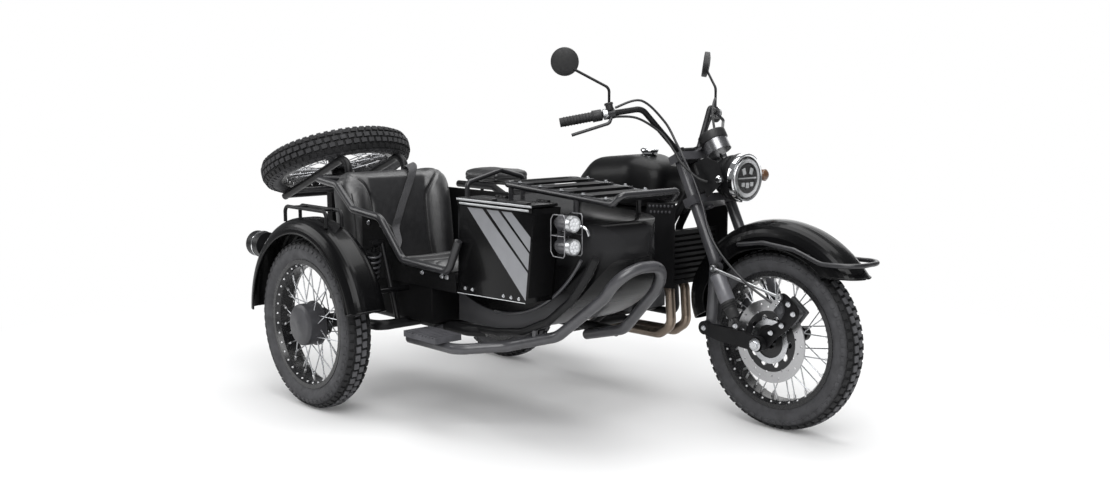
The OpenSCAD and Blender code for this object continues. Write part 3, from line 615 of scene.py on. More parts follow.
def exhaust_metal():
    """Straw and brown by the ports, grey steel towards the rear."""
    n = Nodes("exhaust_metal")
    along = n.add("ShaderNodeSeparateXYZ")
    n.link(n.place, along.inputs[0])
    wave = n.add("ShaderNodeMath", operation="MULTIPLY_ADD")
    wave.inputs[1].default_value = 0.14
    n.link(n.noise(12, 4), wave.inputs[0])
    n.link(along.outputs[0], wave.inputs[2])
    where = n.spread(wave.outputs[0], 0, 1, -0.35, 0.55)
    n.colour(n.ramp(where,
                    [(0, (0.30, 0.30, 0.31)), (0.45, (0.27, 0.255, 0.245)), (0.75, (0.33, 0.275, 0.225)),
                            (1, (0.28, 0.225, 0.18))]))
    n.put(Metallic=1.0)
    n.roughness(n.spread(n.noise(90, 5), 0.26, 0.5))
    n.bump(n.noise(400, 3), 0.06, 0.0004)
    return n.material


def moulded_rubber():
    n = Nodes("moulded_rubber")
    n.colour(n.ramp(n.noise(30, 4), [(0.3, (0.009, 0.009, 0.0095)), (0.7, (0.018, 0.018, 0.0185))]))
    n.roughness(n.spread(n.noise(80, 4), 0.55, 0.75))
    n.bump(n.noise(900, 2), 0.15, 0.0005)
    return n.material


def moulded_plastic():
    n = Nodes("moulded_plastic")
    n.colour(n.ramp(n.noise(20, 4), [(0.3, (0.008, 0.008, 0.0085)), (0.7, (0.014, 0.014, 0.0145))]))
    n.roughness(n.spread(n.noise(90, 4), 0.42, 0.6))
    n.bump(n.cells(700), 0.12, 0.0004)
    return n.material


def lens(name, colour, depth=0.0):
    n = Nodes(name)
    n.colour(n.ramp(n.noise(60, 2), [(0.3, shade(colour, 0.85)), (0.7, shade(colour, 1.1))]))
    n.put(Roughness=0.06, Transmission_Weight=depth, IOR=1.5, Coat_Weight=0.6)
    n.bump(n.cells(260), 0.1, 0.001)
    return n.material


def clear_glass():
    n = Nodes("lamp_glass")
    n.put(Base_Color=(1, 1, 1, 1), Roughness=0.02, Transmission_Weight=1.0, IOR=1.3)
    n.bump(n.noise(90, 1), 0.02, 0.0005)
    return n.material


def lit_face(name, colour, strength):
    n = Nodes(name)
    n.colour(n.ramp(n.noise(50, 2), [(0.3, shade(colour, 0.94)), (0.7, colour)]))
    n.put(Roughness=0.3, Emission_Color=(*colour, 1), Emission_Strength=strength)
    return n.material


def stripe_foil():
    n = Nodes("stripe_foil")
    base = tuple(colours().stripe)
    n.colour(n.ramp(n.noise(14, 3), [(0.3, shade(base, 0.92)), (0.7, shade(base, 1.06))]))
    n.put(Metallic=0.25, Coat_Weight=0.35, Coat_Roughness=0.1)
    n.roughness(n.spread(n.noise(60, 4), 0.28, 0.42))
    return n.material


def webbing():
    n = Nodes("belt_webbing")
    wave = n.add("ShaderNodeTexWave", wave_type="BANDS", bands_direction="DIAGONAL")
    wave.inputs["Scale"].default_value = 420
    n.link(n.place, wave.inputs["Vector"])
    n.colour(n.ramp(wave.outputs["Fac"], [(0.2, (0.022, 0.022, 0.024)), (0.8, (0.05, 0.05, 0.054))]))
    n.put(Roughness=0.75, Sheen_Weight=0.2)
    n.bump(wave.outputs["Fac"], 0.25, 0.0006)
    return n.material


FINISHES = {
    "gloss_paint": gloss_paint,
    "bow_paint_and_reflection": bow_paint_and_reflection,
    "satin_paint": satin_paint,
    "bar_grey": lambda: satin_paint("bar_grey", 7.5, (0.27, 0.35), 0.7, 0.02),
    "tube_grey": lambda: satin_paint("tube_grey", 3.0, (0.28, 0.36), 0.5, 0.02),
    "rack_paint": rack_paint,
    "sleeve_grey": lambda: satin_paint("sleeve_grey", 19.0, (0.30, 0.42), 0.8),
    "hub_grey": lambda: satin_paint("hub_grey", 7.0, (0.34, 0.50), 0.4),
    "tank_paint": lambda: gloss_paint("tank_paint", (0.38, 0.44), 0.16, 0.04),
    "step_grey": lambda: satin_paint("step_grey", 12.0, (0.5, 0.65)),
    "pebbled_panel": pebbled_panel,
    "leather": leather,
    "chrome": lambda: bare_metal("polished_chrome", (0.86, 0.87, 0.88), (0.03, 0.09), 90, None, 0.01),
    "bolt_steel": lambda: bare_metal("bolt_steel", (0.62, 0.63, 0.65), (0.2, 0.36)),
    "gauge_shell": lambda: bare_metal("gauge_shell", (0.26, 0.26, 0.27), (0.24, 0.36)),
    "satin_alloy": lambda: bare_metal("satin_alloy", (0.6, 0.61, 0.62), (0.26, 0.42), 300, (1, 14, 14)),
    "zinc": lambda: bare_metal("zinc_plating", (0.80, 0.80, 0.81), (0.42, 0.55)),
    "engine_casting": engine_casting,
    "exhaust_metal": exhaust_metal,
    "moulded_rubber": moulded_rubber,
    "moulded_plastic": moulded_plastic,
    "amber_lens": lambda: lens("amber_lens", tuple(colours().amber), 0.25),
    "red_lens": lambda: lens("red_lens", (0.42, 0.012, 0.012), 0.2),
    "lamp_glass": clear_glass,
    "lamp_white": lambda: lit_face("lamp_white", (0.66, 0.67, 0.69), 0.05),
    "lamp_ring": lambda: lit_face("lamp_ring", (0.70, 0.71, 0.72), 0.12),
    "mirror_glass": lambda: bare_metal("mirror_glass", (0.9, 0.91, 0.92), (0.01, 0.03), 40, None, 0.0),
    "stripe_foil": stripe_foil,
    "webbing": webbing,
}


def dress(node, name):
    """Gives a CAD node that shows as it is a procedural finish."""
    obj = frame["nodes"][node]
    material = finish(name) if isinstance(name, str) else name
    obj.data.materials.clear()
    obj.data.materials.append(material)


# Wheels
WHEELS = {
    "front": (upright_wheel(FRONT_AXLE), "front_wheel", "front_tyre", "front_rim"),
    "rear": (upright_wheel(REAR_AXLE), "rear_wheel", "rear_tyre", "rear_rim"),
    "sidecar": (upright_wheel(SIDE_AXLE), "sidecar_wheel", "sidecar_tyre", "sidecar_rim"),
    "spare": (SPARE_PLACE, "chassis", "spare_tyre", "spare_rim"),
}


def tyre_model():
    """One tyre round local Z: a smooth carcass with rows of tread blocks to the full radius."""
    depth = sizes().tread_depth
    crown = 0.328 - depth
    outer = [(0.2385, 0.0395), (0.2500, 0.0410), (0.2600, 0.0500), (0.2710, 0.0545), (0.2850, 0.0552),
             (0.2960, 0.0530), (0.3050, 0.0475), (0.3120, 0.0385), (crown - 0.0035, 0.0260), (crown, 0.0130)]
    profile = outer + [(crown, 0.0)] + [(r, -h) for r, h in reversed(outer)] + [outer[0]]
    made = [lathe(profile, 96, degrees=60)]
    count = sizes().tread_blocks
    # Row: distance from the middle, radius at the block's foot, tilt, length round, width, turn, half-step
    rows = [(0.0118, crown - 0.0006, 0.08, 0.0265, 0.0205, 0.10, 0.0),
            (-0.0118, crown - 0.0006, -0.08, 0.0265, 0.0205, 0.10, 0.5),
            (0.0345, crown - 0.0090, 0.46, 0.0250, 0.0190, -0.08, 0.5),
            (-0.0345, crown - 0.0090, -0.46, 0.0250, 0.0190, -0.08, 0.0),
            (0.0500, crown - 0.0235, 1.00, 0.0190, 0.0150, 0.0, 0.0),
            (-0.0500, crown - 0.0235, -1.00, 0.0190, 0.0150, 0.0, 0.5)]
    for offset, foot, tilt, length, width, turn, start in rows:
        block = add("cube", size=1)
        for vertex in block.data.vertices:
            if vertex.co.x > 0:
                vertex.co.y *= 0.88
                vertex.co.z *= 0.86
        height = 2 * depth if abs(tilt) < 0.9 else 1.3 * depth
        shape = (Matrix.Rotation(-tilt, 4, "Y") @ Matrix.Rotation(turn, 4, "X")
                 @ Matrix.Diagonal((height, length, width, 1)))
        block.data.transform(Matrix.Translation((foot, 0, offset)) @ shape)
        places = [Matrix.Rotation(2 * math.pi * (i + start) / count, 4, "Z") for i in range(count)]
        made.append(copies(block, places))
    return joined(made)


SPOKES = 36
SPOKE_LEAD = math.radians(46)
HUB_CIRCLE, RIM_CIRCLE = 0.048, 0.230
NIPPLE_BACK = 0.0165
FLANK_CIRCLE, FLANK_OUT = 0.2268, 0.0347
FLANK_NORMAL = (-0.874, 0.485)


def round_axle(radius, angle, height):
    """A point in a wheel's own layout."""
    return Vector((radius * math.cos(angle), radius * math.sin(angle), height))


def nipple_places(wheel):
    """Places just inside the rim, along each spoke."""
    places = []
    for i in range(SPOKES):
        angle = 2 * math.pi * i / SPOKES
        side = 1 if i % 2 == 0 else -1
        lead = 1 if (i // 2) % 2 == 0 else -1
        low = round_axle(HUB_CIRCLE, angle + lead * SPOKE_LEAD, side * (0.034 + lead * 0.007))
        top = round_axle(RIM_CIRCLE, angle, side * 0.008)
        along = (top - low).normalized()
        places.append(wheel @ aim(low + along * ((top - low).length - NIPPLE_BACK), along))
    return places


def screw_head_places(wheel):
    """Places on the two flanks of the rim, square to the flank."""
    inward, outward = FLANK_NORMAL
    places = []
    for i in range(SPOKES):
        angle = 2 * math.pi * (i + 0.25) / SPOKES
        for side in (-1, 1):
            spot = round_axle(FLANK_CIRCLE, angle, side * FLANK_OUT)
            places.append(wheel @ aim(spot, round_axle(inward, angle, side * outward)))
    return places


def nipple_model():
    obj = add("cylinder", vertices=6, radius=0.0050, depth=0.021)
    modify(obj, "BEVEL", width=0.001, segments=1)
    return obj


class OUTFIT_OT_wheels(bpy.types.Operator):
    """Tyres with tread blocks, spoke nipples and wheel finishes"""
    bl_idname = "outfit.wheels"
    bl_label = "Wheels"

    def execute(self, context):
        model = tyre_model()
        for key, (matrix, body, tyre, rim) in WHEELS.items():
            twin = model.copy()
            twin.data = model.data.copy()
            context.scene.collection.objects.link(twin)
            moved(twin, matrix)
            smooth(twin, 38)
            # The spare's darker block tops (0.7 against 1.9) are painted shade on the same rubber
            piece(twin, f"{key}_tread_tyre", body,
                  tyre_rubber(f"{key}_tyre_rubber", matrix, 0.7 if key == "spare" else 1.9), (tyre,))
            dress(rim, wheel_metal(f"{key}_wheel_metal", matrix))
            nipples = copies(nipple_model(), nipple_places(matrix))
            heads = copies(lathe(dome(0.0046, 0.0034, 4), 10), screw_head_places(matrix))
            nipples = joined([nipples, heads])
            piece(nipples, f"{key}_spoke_nipples", body, finish("zinc"))
        bpy.data.objects.remove(model)
        matrix = WHEELS["front"][0]
        dress("front_disc", brake_disc("front_brake_disc", matrix))
        tone = lathe([(0.060, -0.0690), (0.080, -0.0690), (0.080, -0.0660), (0.060, -0.0660),
                      (0.060, -0.0690)], 60, matrix)
        piece(tone, "tone_ring", "front_wheel", finish("bolt_steel"))
        drum = [(0.0, -0.0745), (0.016, -0.0745), (0.022, -0.0715), (0.062, -0.0715), (0.0720, -0.0690),
                (0.0785, -0.0630), (0.0800, -0.0550), (0.0800, -0.0060), (0.0860, -0.0050), (0.0860, 0.0010),
                (0.0800, 0.0020), (0.0375, 0.0020), (0.0375, -0.0430), (0.0, -0.0430)]
        piece(lathe(drum, 64, WHEELS["sidecar"][0]), "hub_cap_face", "sidecar_wheel",
              finish("hub_grey"))
        return {"FINISHED"}


# Soft pieces
def block(low, high, cuts, round_over):
    """A box between two corners, with rounded edges and a grid to shape."""
    size = high - low
    obj = add("cube", size=1)
    obj.data.transform(Matrix.Translation((low + high) / 2) @ Matrix.Diagonal((*size, 1)))
    modify(obj, "BEVEL", width=round_over, segments=4, limit_method="NONE")
    edit_all(obj)
    bpy.ops.mesh.subdivide(number_cuts=cuts)
    bpy.ops.object.mode_set(mode="OBJECT")
    return obj


def padded(obj, cap, voxel=0.006, pinned=None):
    """Lets the padding swell by a cloth step, holds it to a cap and keeps its rest face flat."""
    modify(obj, "REMESH", mode="VOXEL", voxel_size=voxel)
    start = [v.co.copy() for v in obj.data.vertices]
    scene = bpy.context.scene
    cloth = obj.modifiers.new("Cloth", "CLOTH")
    cloth.settings.use_pressure = True
    cloth.settings.uniform_pressure_force = 4.0
    cloth.settings.effector_weights.gravity = 0
    cloth.settings.quality = 4
    cloth.collision_settings.use_collision = False
    cloth.point_cache.frame_start = 1
    cloth.point_cache.frame_end = 14
    if pinned:
        group = obj.vertex_groups.new(name="rest")
        group.add([i for i, co in enumerate(start) if pinned(co)], 1.0, "REPLACE")
        cloth.settings.vertex_group_mass = "rest"
    for number in range(1, 15):
        scene.frame_set(number)
    activate(obj)
    bpy.ops.object.modifier_apply(modifier=cloth.name)
    scene.frame_set(1)
    for vertex, before in zip(obj.data.vertices, start):
        step = vertex.co - before
        if step.length > cap:
            vertex.co = before + step * (cap / step.length)
    obj.vertex_groups.clear()
    modify(obj, "SMOOTH", factor=0.5, iterations=4)
    return obj


def pressed(obj, seams, depth, spread):
    """Draws the padding in along seam lines given as functions of a point: (distance, inward direction)."""
    for vertex in obj.data.vertices:
        for seam in seams:
            away, inward = seam(vertex.co)
            if away < 3 * spread:
                vertex.co = vertex.co + inward * (depth * math.exp(-(away / spread) ** 2))
    return obj


def seat_frame():
    """Places on the passenger seat: lean of its back and the corner at the back's foot."""
    return at(62, 0, 440.3), math.radians(-7.5)


def back_point(x, y, z):
    """A place on the seat back, from millimetres in the back's own upright layout."""
    foot, lean = seat_frame()
    return foot + Matrix.Rotation(lean, 3, "Y") @ (Vector((x, y, z)) / 1000)


class OUTFIT_OT_seats(bpy.types.Operator):
    """Rider's saddle, pillion pad and the passenger's bucket seat with bolsters, channels and piping"""
    bl_idname = "outfit.seats"
    bl_label = "Seats"

    def execute(self, context):
        self.motorcycle_seats()
        self.passenger_back()
        self.passenger_cushion()
        self.belt()
        return {"FINISHED"}

    def motorcycle_seats(self):
        for node, name, dish in (("rider_saddle", "rider_saddle_cover", 0.016),
                                 ("pillion_pad", "pillion_cover", 0.004)):
            low, high = (Vector(c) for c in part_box(node))
            inset = Vector((0.010, 0.010, 0))
            obj = block(low + inset, high - inset - Vector((0, 0, 0.004)), 5, 0.016)
            middle, half = (low + high) / 2, (high - low) / 2
            for vertex in obj.data.vertices:
                u = (vertex.co.x - middle.x) / half.x
                v = (vertex.co.y - middle.y) / half.y
                if vertex.co.z > middle.z:
                    vertex.co.z -= dish * (1 - u * u) - 0.002 + 0.006 * v * v
                if node == "rider_saddle":
                    vertex.co.y = middle.y + (vertex.co.y - middle.y) * (1 - 0.34 * max(0, u) ** 1.5)
            padded(obj, 0.006, 0.005, lambda co: co.z < low.z + 0.004)

            def foot_seam(co):
                inward = Vector((middle.x - co.x, middle.y - co.y, 0)).normalized()
                return abs(co.z - low.z - 0.020), inward
            pressed(obj, [foot_seam], 0.003, 0.004)
            modify(obj, "SUBSURF", levels=1, render_levels=1)
            smooth(obj, 80)
            piece(obj, name, "chassis", finish("leather"), (node,))
            ring = []
            for i in range(96):
                angle = 2 * math.pi * i / 96
                along, across = self.rounded(math.cos(angle)), self.rounded(math.sin(angle))
                narrowing = 0.34 * max(0, along) ** 1.5 if node == "rider_saddle" else 0
                ring.append(Vector((middle.x + (half.x - 0.010) * along,
                                    middle.y + (half.y - 0.010) * across * (1 - narrowing), low.z + 0.020)))
            bead = pipe(ring, sizes().piping * 0.7, True)
            piece(bead, f"{name}_piping", "chassis", finish("moulded_rubber"))

    @staticmethod
    def rounded(value):
        return math.copysign(abs(value) ** 0.28, value)

    def passenger_back(self):
        foot, lean = seat_frame()
        turn = Matrix.Translation(foot) @ Matrix.Rotation(lean, 4, "Y")
        low, high = Vector((0.010, -0.910, 0.006)), Vector((0.078, -0.381, 0.450))
        middle, half = (low + high) / 2, (high - low) / 2
        corner, bolster_at, bolster_half = 0.084, half.y - 0.062, 0.066
        obj = block(low, high, 27, 0.026)
        for vertex in obj.data.vertices:
            co = vertex.co
            side = math.copysign(1, co.y - middle.y)
            across, up = abs(co.y - middle.y) - (half.y - corner), co.z - (high.z - corner)
            if across > 0 and up > 0:
                grow = max(across, up) / math.hypot(across, up)
                co.y = middle.y + side * (half.y - corner + across * grow)
                co.z = high.z - corner + up * grow
            tucked = -0.866 - 0.044 * max(0.0, min(1.0, (co.z - 0.078) / 0.040))
            co.y = max(co.y, tucked)
            if co.x > middle.x:
                away = abs(abs(co.y - middle.y) - bolster_at) / bolster_half
                crown = math.cos(math.pi / 2 * min(1.0, away)) ** 0.9
                fade = 1 - max(0.0, (co.z - 0.30) / 0.16) ** 2
                co.x += 0.042 * crown * fade + 0.010 * (1 - (co.z - middle.z) ** 2 / half.z ** 2)
        padded(obj, sizes().puff * 0.6, 0.006, lambda co: co.x < low.x + 0.004)

        def seam(height):
            """Distance of a bolster's inner seam from the middle: bowed, and arched outwards to the top."""
            arch = max(0.0, (height - 0.30) / 0.15)
            foot = max(0.0, (0.16 - height) / 0.16)
            return 0.132 + 0.10 * arch ** 2 + 0.020 * foot

        def crease(co):
            return (abs(abs(co.y - middle.y) - seam(co.z)) if co.x > middle.x else 1, Vector((-1, 0, 0)))
        pressed(obj, [crease], 0.007, 0.006)
        modify(obj, "SUBSURF", levels=1, render_levels=1)
        smooth(obj, 80)
        lines = [[(side * seam(0.04 + 0.0125 * i), 0.04 + 0.0125 * i) for i in range(31)] for side in (-1, 1)]
        lines += [[(side * 0.236, 0.12 + 0.0125 * i) for i in range(20)] for side in (-1, 1)]
        beads = []
        for line in lines:
            found = [obj.ray_cast(Vector((0.5, middle.y + y, z)), Vector((-1, 0, 0))) for y, z in line]
            beads.append(pipe(through([turn @ place for hit, place, *_ in found if hit], 3),
                              sizes().piping * 0.6))
        moved(obj, turn)
        piece(obj, "seat_back_cover", "chassis", finish("leather"), ("seat_back",))
        piece(joined(beads), "seat_back_piping", "chassis", finish("moulded_rubber"))

    def passenger_cushion(self):
        low, high = (Vector(c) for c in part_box("seat_cushion"))
        middle, half = (low + high) / 2, (high - low) / 2
        obj = block(low + Vector((0.014, 0.014, 0.001)), high - Vector((0.016, 0.014, 0.016)), 9, 0.036)
        for vertex in obj.data.vertices:
            u = (vertex.co.x - middle.x) / half.x
            v = (vertex.co.y - middle.y) / half.y
            if vertex.co.z > middle.z:
                vertex.co.z += 0.004 - 0.020 * (1 - abs(v) ** 2.2) * (1 - 0.6 * max(0, u)) + 0.004 * max(0, u)
        padded(obj, sizes().puff, 0.006, lambda co: co.z < low.z + 0.005)
        down = Vector((0, 0, -1))

        def long_seam(side):
            return lambda co: (abs(co.y - middle.y - side) if co.z > middle.z else 1, down)

        def cross_seam(x):
            def seam(co):
                inside = co.z > middle.z and abs(co.y - middle.y) < 0.13
                return abs(co.x - middle.x - x) if inside else 1, down
            return seam
        seams = [long_seam(side) for side in (-0.135, 0.135)] + [cross_seam(x) for x in (-0.10, 0.0, 0.10)]
        pressed(obj, seams, 0.009, 0.010)
        modify(obj, "SUBSURF", levels=1, render_levels=1)
        smooth(obj, 80)
        piece(obj, "seat_cushion_cover", "chassis", finish("leather"), ("seat_cushion",))
        ring = []
        for i in range(120):
            a = 2 * math.pi * i / 120
            ring.append(Vector((middle.x + (half.x - 0.012) * self.rounded(math.cos(a)),
                                middle.y + (half.y - 0.012) * self.rounded(math.sin(a)), high.z - 0.040)))
        bead = pipe(ring, sizes().piping, True)
        piece(bead, "seat_cushion_piping", "chassis", finish("moulded_rubber"))

    def belt(self):
        back = [(6, -536, 430), (14, -540, 452), (44, -545, 465), (92, -562, 440), (99, -598, 372),
                (102, -628, 320), (104, -662, 252), (106, -686, 200)]
        cushion = [(226, -735, 610), (300, -800, 590)]
        line = through([back_point(*p) for p in back] + [at(*p) for p in cushion], 10)
        edges = Vector((0, 0.021, 0.007))
        obj = add("grid", x_subdivisions=len(line) - 1, y_subdivisions=1, size=1)
        columns = sorted(obj.data.vertices, key=lambda v: (round(v.co.y, 3), v.co.x))
        for i, place in enumerate(line):
            columns[i].co = place - edges
            columns[i + len(line)].co = place + edges
        recalculate(obj, 1e-7)
        modify(obj, "SOLIDIFY", thickness=0.0022, offset=0)
        smooth(obj, 40)
        piece(obj, "lap_belt", "chassis", finish("webbing"))


# Lamps and instruments
def ring_profile(radius, tube, steps=10):
    """Profile of a round ring."""
    return [(radius + tube * math.cos(2 * math.pi * i / steps), tube * math.sin(2 * math.pi * i / steps))
            for i in range(steps)] + [(radius + tube, 0.0)]


def dome(radius, rise, steps=8):
    """Profile of a shallow round cap that opens towards local -Z."""
    return [(radius * math.cos(math.pi / 2 * i / steps), rise * math.sin(math.pi / 2 * i / steps))
            for i in range(steps)] + [(0.0, rise)]


class OUTFIT_OT_lamps(bpy.types.Operator):
    """Headlamp, spot lamps, turn lamps, tail lamps, gauge dial and mirror glass"""
    bl_idname = "outfit.lamps"
    bl_label = "Lamps and instruments"

    def execute(self, context):
        self.headlamp()
        self.spots()
        self.small_lamps()
        self.gauge()
        self.mirrors()
        return {"FINISHED"}

    def headlamp(self):
        dress("headlamp", "satin_paint")
        face = aim(at(1384, 0, 897), (1, 0, 0))
        bezel = lathe([(0.078, 0.0), (0.0795, 0.006), (0.084, 0.0085), (0.0885, 0.006), (0.0900, -0.004),
                       (0.0900, -0.012), (0.078, -0.012), (0.078, 0.0)], 64, face)
        piece(bezel, "headlamp_bezel", "steering", finish("chrome"))
        bowl = lathe([(0.0, 0.0006), (0.030, 0.0006), (0.050, 0.0016), (0.078, 0.0030)], 64, face)
        piece(bowl, "headlamp_bowl", "steering", finish("moulded_plastic"))
        halo = lathe([(0.0545, 0.002), (0.0560, 0.0055), (0.0690, 0.0065), (0.0715, 0.0030)], 64, face)
        piece(halo, "headlamp_ring", "steering", finish("satin_alloy"))
        # Reflector: place across and up, width, height, turn
        cells = [(0.0, 0.0, 0.100, 0.006, 0), (-0.020, 0.024, 0.018, 0.024, 18),
                 (0.020, 0.024, 0.018, 0.024, -18), (-0.024, -0.023, 0.018, 0.016, 0),
                 (0.0, -0.026, 0.020, 0.020, 0), (0.024, -0.023, 0.018, 0.016, 0)]
        bars = []
        for across, up, width, height, turn in cells:
            spin = Matrix.Rotation(math.radians(turn), 4, "Z")
            place = face @ Matrix.Translation((across, up, 0.0032)) @ spin
            bars.append(slab((width, height, 0.005), place, 0.0018))
        piece(joined(bars), "headlamp_cells", "steering", finish("satin_alloy"))
        glass = lathe(dome(0.0795, 0.012), 64, face @ Matrix.Translation((0, 0, 0.0055)))
        piece(glass, "headlamp_glass", "steering", finish("lamp_glass"))
        outline = [(1228, 950), (1280, 972), (1338, 957), (1364, 890), (1290, 826)]
        plates, bolts = [], []
        for side in (-1, 1):
            corners = outline if side > 0 else outline[::-1]
            plates.append(sheet_patch([at(x, side * 98.5, z) for x, z in corners], 0.003))
            pivot = aim(at(1343, side * 101.6, 893), Vector((0, side, 0)))
            bolts.append(pivot @ Matrix.Diagonal((1.5, 1.5, 1.4, 1)))
        piece(joined(plates), "headlamp_cowl", "steering", finish("satin_paint"))
        piece(copies(bolt_model(), bolts), "headlamp_cowl_bolts", "steering", finish("chrome"))

    def spots(self):
        dress("spot_lamps", "bar_grey")
        rims, bowls, beads = [], [], []
        for z in (709, 785):
            face = aim(at(1324, -802, z), (1, 0, 0))
            rims.append(lathe([(0.0215, -0.004), (0.0225, 0.0045), (0.0265, 0.0045), (0.0275, -0.002),
                               (0.0275, -0.016), (0.0262, -0.016), (0.0215, -0.004)], 40, face))
            bowls.append(lathe([(0.0, 0.0005), (0.0110, 0.0006), (0.0222, 0.0012)], 40, face))
            for i in range(7):
                angle = 2 * math.pi * i / 6
                away = 0.0 if i == 6 else 0.0140
                place = Matrix.Translation((away * math.cos(angle), away * math.sin(angle), 0.0008))
                beads.append(lathe(dome(0.0074, 0.0036, 5), 16, face @ place))
        piece(joined(rims), "spot_lamp_rims", "chassis", finish("satin_alloy"))
        piece(joined(bowls), "spot_lamp_bowls", "chassis", finish("lamp_ring"))
        piece(joined(beads), "spot_lamp_cells", "chassis", finish("lamp_white"))
        wires = []
        for y in (-841, -763):
            corners = [(1256, 694), (1268, 678), (1316, 678), (1322, 686), (1322, 808), (1316, 816),
                       (1268, 816), (1256, 800)]
            wires.append(pipe([at(x, y, z) for x, z in corners], 0.0021, True))
            wires.append(pipe([at(1256, y, 747), at(1322, y, 747)], 0.0019))
            wires.append(pipe([at(1256, y, 747), at(1254, -802, 747)], 0.0025))
        piece(joined(wires), "spot_lamp_cage", "chassis", finish("gauge_shell"))
        stay = pipe(through([at(1258, -790, 758), at(1290, -764, 772), at(1320, -746, 766),
                             at(1330, -739, 742)], 8), 0.0062)
        piece(stay, "spot_lamp_stay", "chassis", finish("chrome"))

    def small_lamps(self):
        dress("turn_lamp", "moulded_plastic")
        wall = [(0.0215, -0.030), (0.0222, -0.026), (0.0222, 0.001)]
        cap = [(r, h + 0.001) for r, h in dome(0.0205, 0.010)]
        front = lathe(wall + cap, 40, aim(at(1356, 148, 899), (1, 0, 0)))
        piece(front, "turn_lamp_lens", "steering", finish("amber_lens"))
        dress("tail_lamps", "satin_paint")
        rear = aim(at(-432, 0, 486), (-1, 0, 0))
        pod = aim(at(-298, -1090, 594), (-1, 0, 0))
        made = [lathe([(0.0375, -0.010), (0.0390, 0.0)] + dome(0.036, 0.007), 40, rear),
                lathe([(0.0295, -0.002)] + dome(0.028, 0.006), 40, pod)]
        piece(joined(made), "tail_lamp_lenses", "chassis", finish("red_lens"))
        rims = [lathe([(0.0375, -0.004), (0.0425, -0.004), (0.0425, 0.003), (0.0385, 0.004),
                       (0.0375, -0.004)], 40, rear),
                lathe([(r, h - 0.086) for r, h in ring_profile(0.0525, 0.0022, 8)], 40, pod)]
        piece(joined(rims), "tail_lamp_rims", "chassis", finish("chrome"))

    def gauge(self):
        lean = math.radians(32)
        top = at(1258, 0, 986) + Vector((-math.sin(lean), 0, math.cos(lean))) * 0.074
        face = aim(top, (-math.sin(lean), 0, math.cos(lean)))
        bezel = lathe([(0.0440, 0.0), (0.0450, 0.005), (0.0500, 0.0055), (0.0535, 0.002), (0.0535, -0.026),
                       (0.0520, -0.029), (0.0482, -0.029), (0.0440, 0.0)], 56, face)
        piece(bezel, "gauge_bezel", "steering", finish("moulded_plastic"))
        dial = lathe([(0.0, 0.0006), (0.030, 0.0006), (0.044, 0.0010)], 56, face)
        piece(dial, "gauge_dial", "steering", finish("moulded_plastic"))
        marks = []
        for i in range(25):
            angle = math.radians(-130 + 260 * i / 24)
            size = (0.0018, 0.009, 0.0006) if i % 4 == 0 else (0.001, 0.005, 0.0006)
            place = face @ Matrix.Rotation(angle, 4, "Z") @ Matrix.Translation((0, 0.037, 0.0014))
            marks.append(slab(size, place, 0.0002, 1))
        hand = add("cone", vertices=4, radius1=0.0022, radius2=0.0006, depth=0.036)
        reading = Matrix.Rotation(math.radians(-120), 4, "Z")
        lying = Matrix.Rotation(math.radians(-90), 4, "X")
        hand.data.transform(face @ reading @ Matrix.Translation((0, 0.014, 0.0026)) @ lying)
        marks.append(hand)
        # The marks and hand take the faintly glowing lamp white: a painted glow, as they are no lamp
        piece(joined(marks), "gauge_marks", "steering", finish("lamp_white"))
        glass = lathe(dome(0.0445, 0.004), 48, face @ Matrix.Translation((0, 0, 0.0042)))
        piece(glass, "gauge_glass", "steering", finish("lamp_glass"))

    def mirrors(self):
        dress("mirrors", "satin_paint")
        glasses, rims = [], []
        for side in (-1, 1):
            back, yaw = math.sin(math.radians(82)), math.radians(42)
            axis = Vector((-back * math.cos(yaw), -side * back * math.sin(yaw), math.cos(math.radians(82))))
            face = aim(at(850, side * 405, 1318) + axis * 0.016, axis)
            glasses.append(lathe([(0.0, 0.0014), (0.030, 0.0012), (0.047, 0.0006)], 48, face))
            rims.append(lathe([(0.0470, 0.0), (0.0478, 0.0026), (0.0505, 0.0030), (0.0524, 0.0008),
                               (0.0524, -0.018), (0.0470, -0.0195), (0.030, -0.024), (0.0, -0.0255)], 48,
                              face))
        piece(joined(glasses), "mirror_glasses", "steering", finish("mirror_glass"))
        piece(joined(rims), "mirror_shells", "steering", finish("moulded_plastic"))


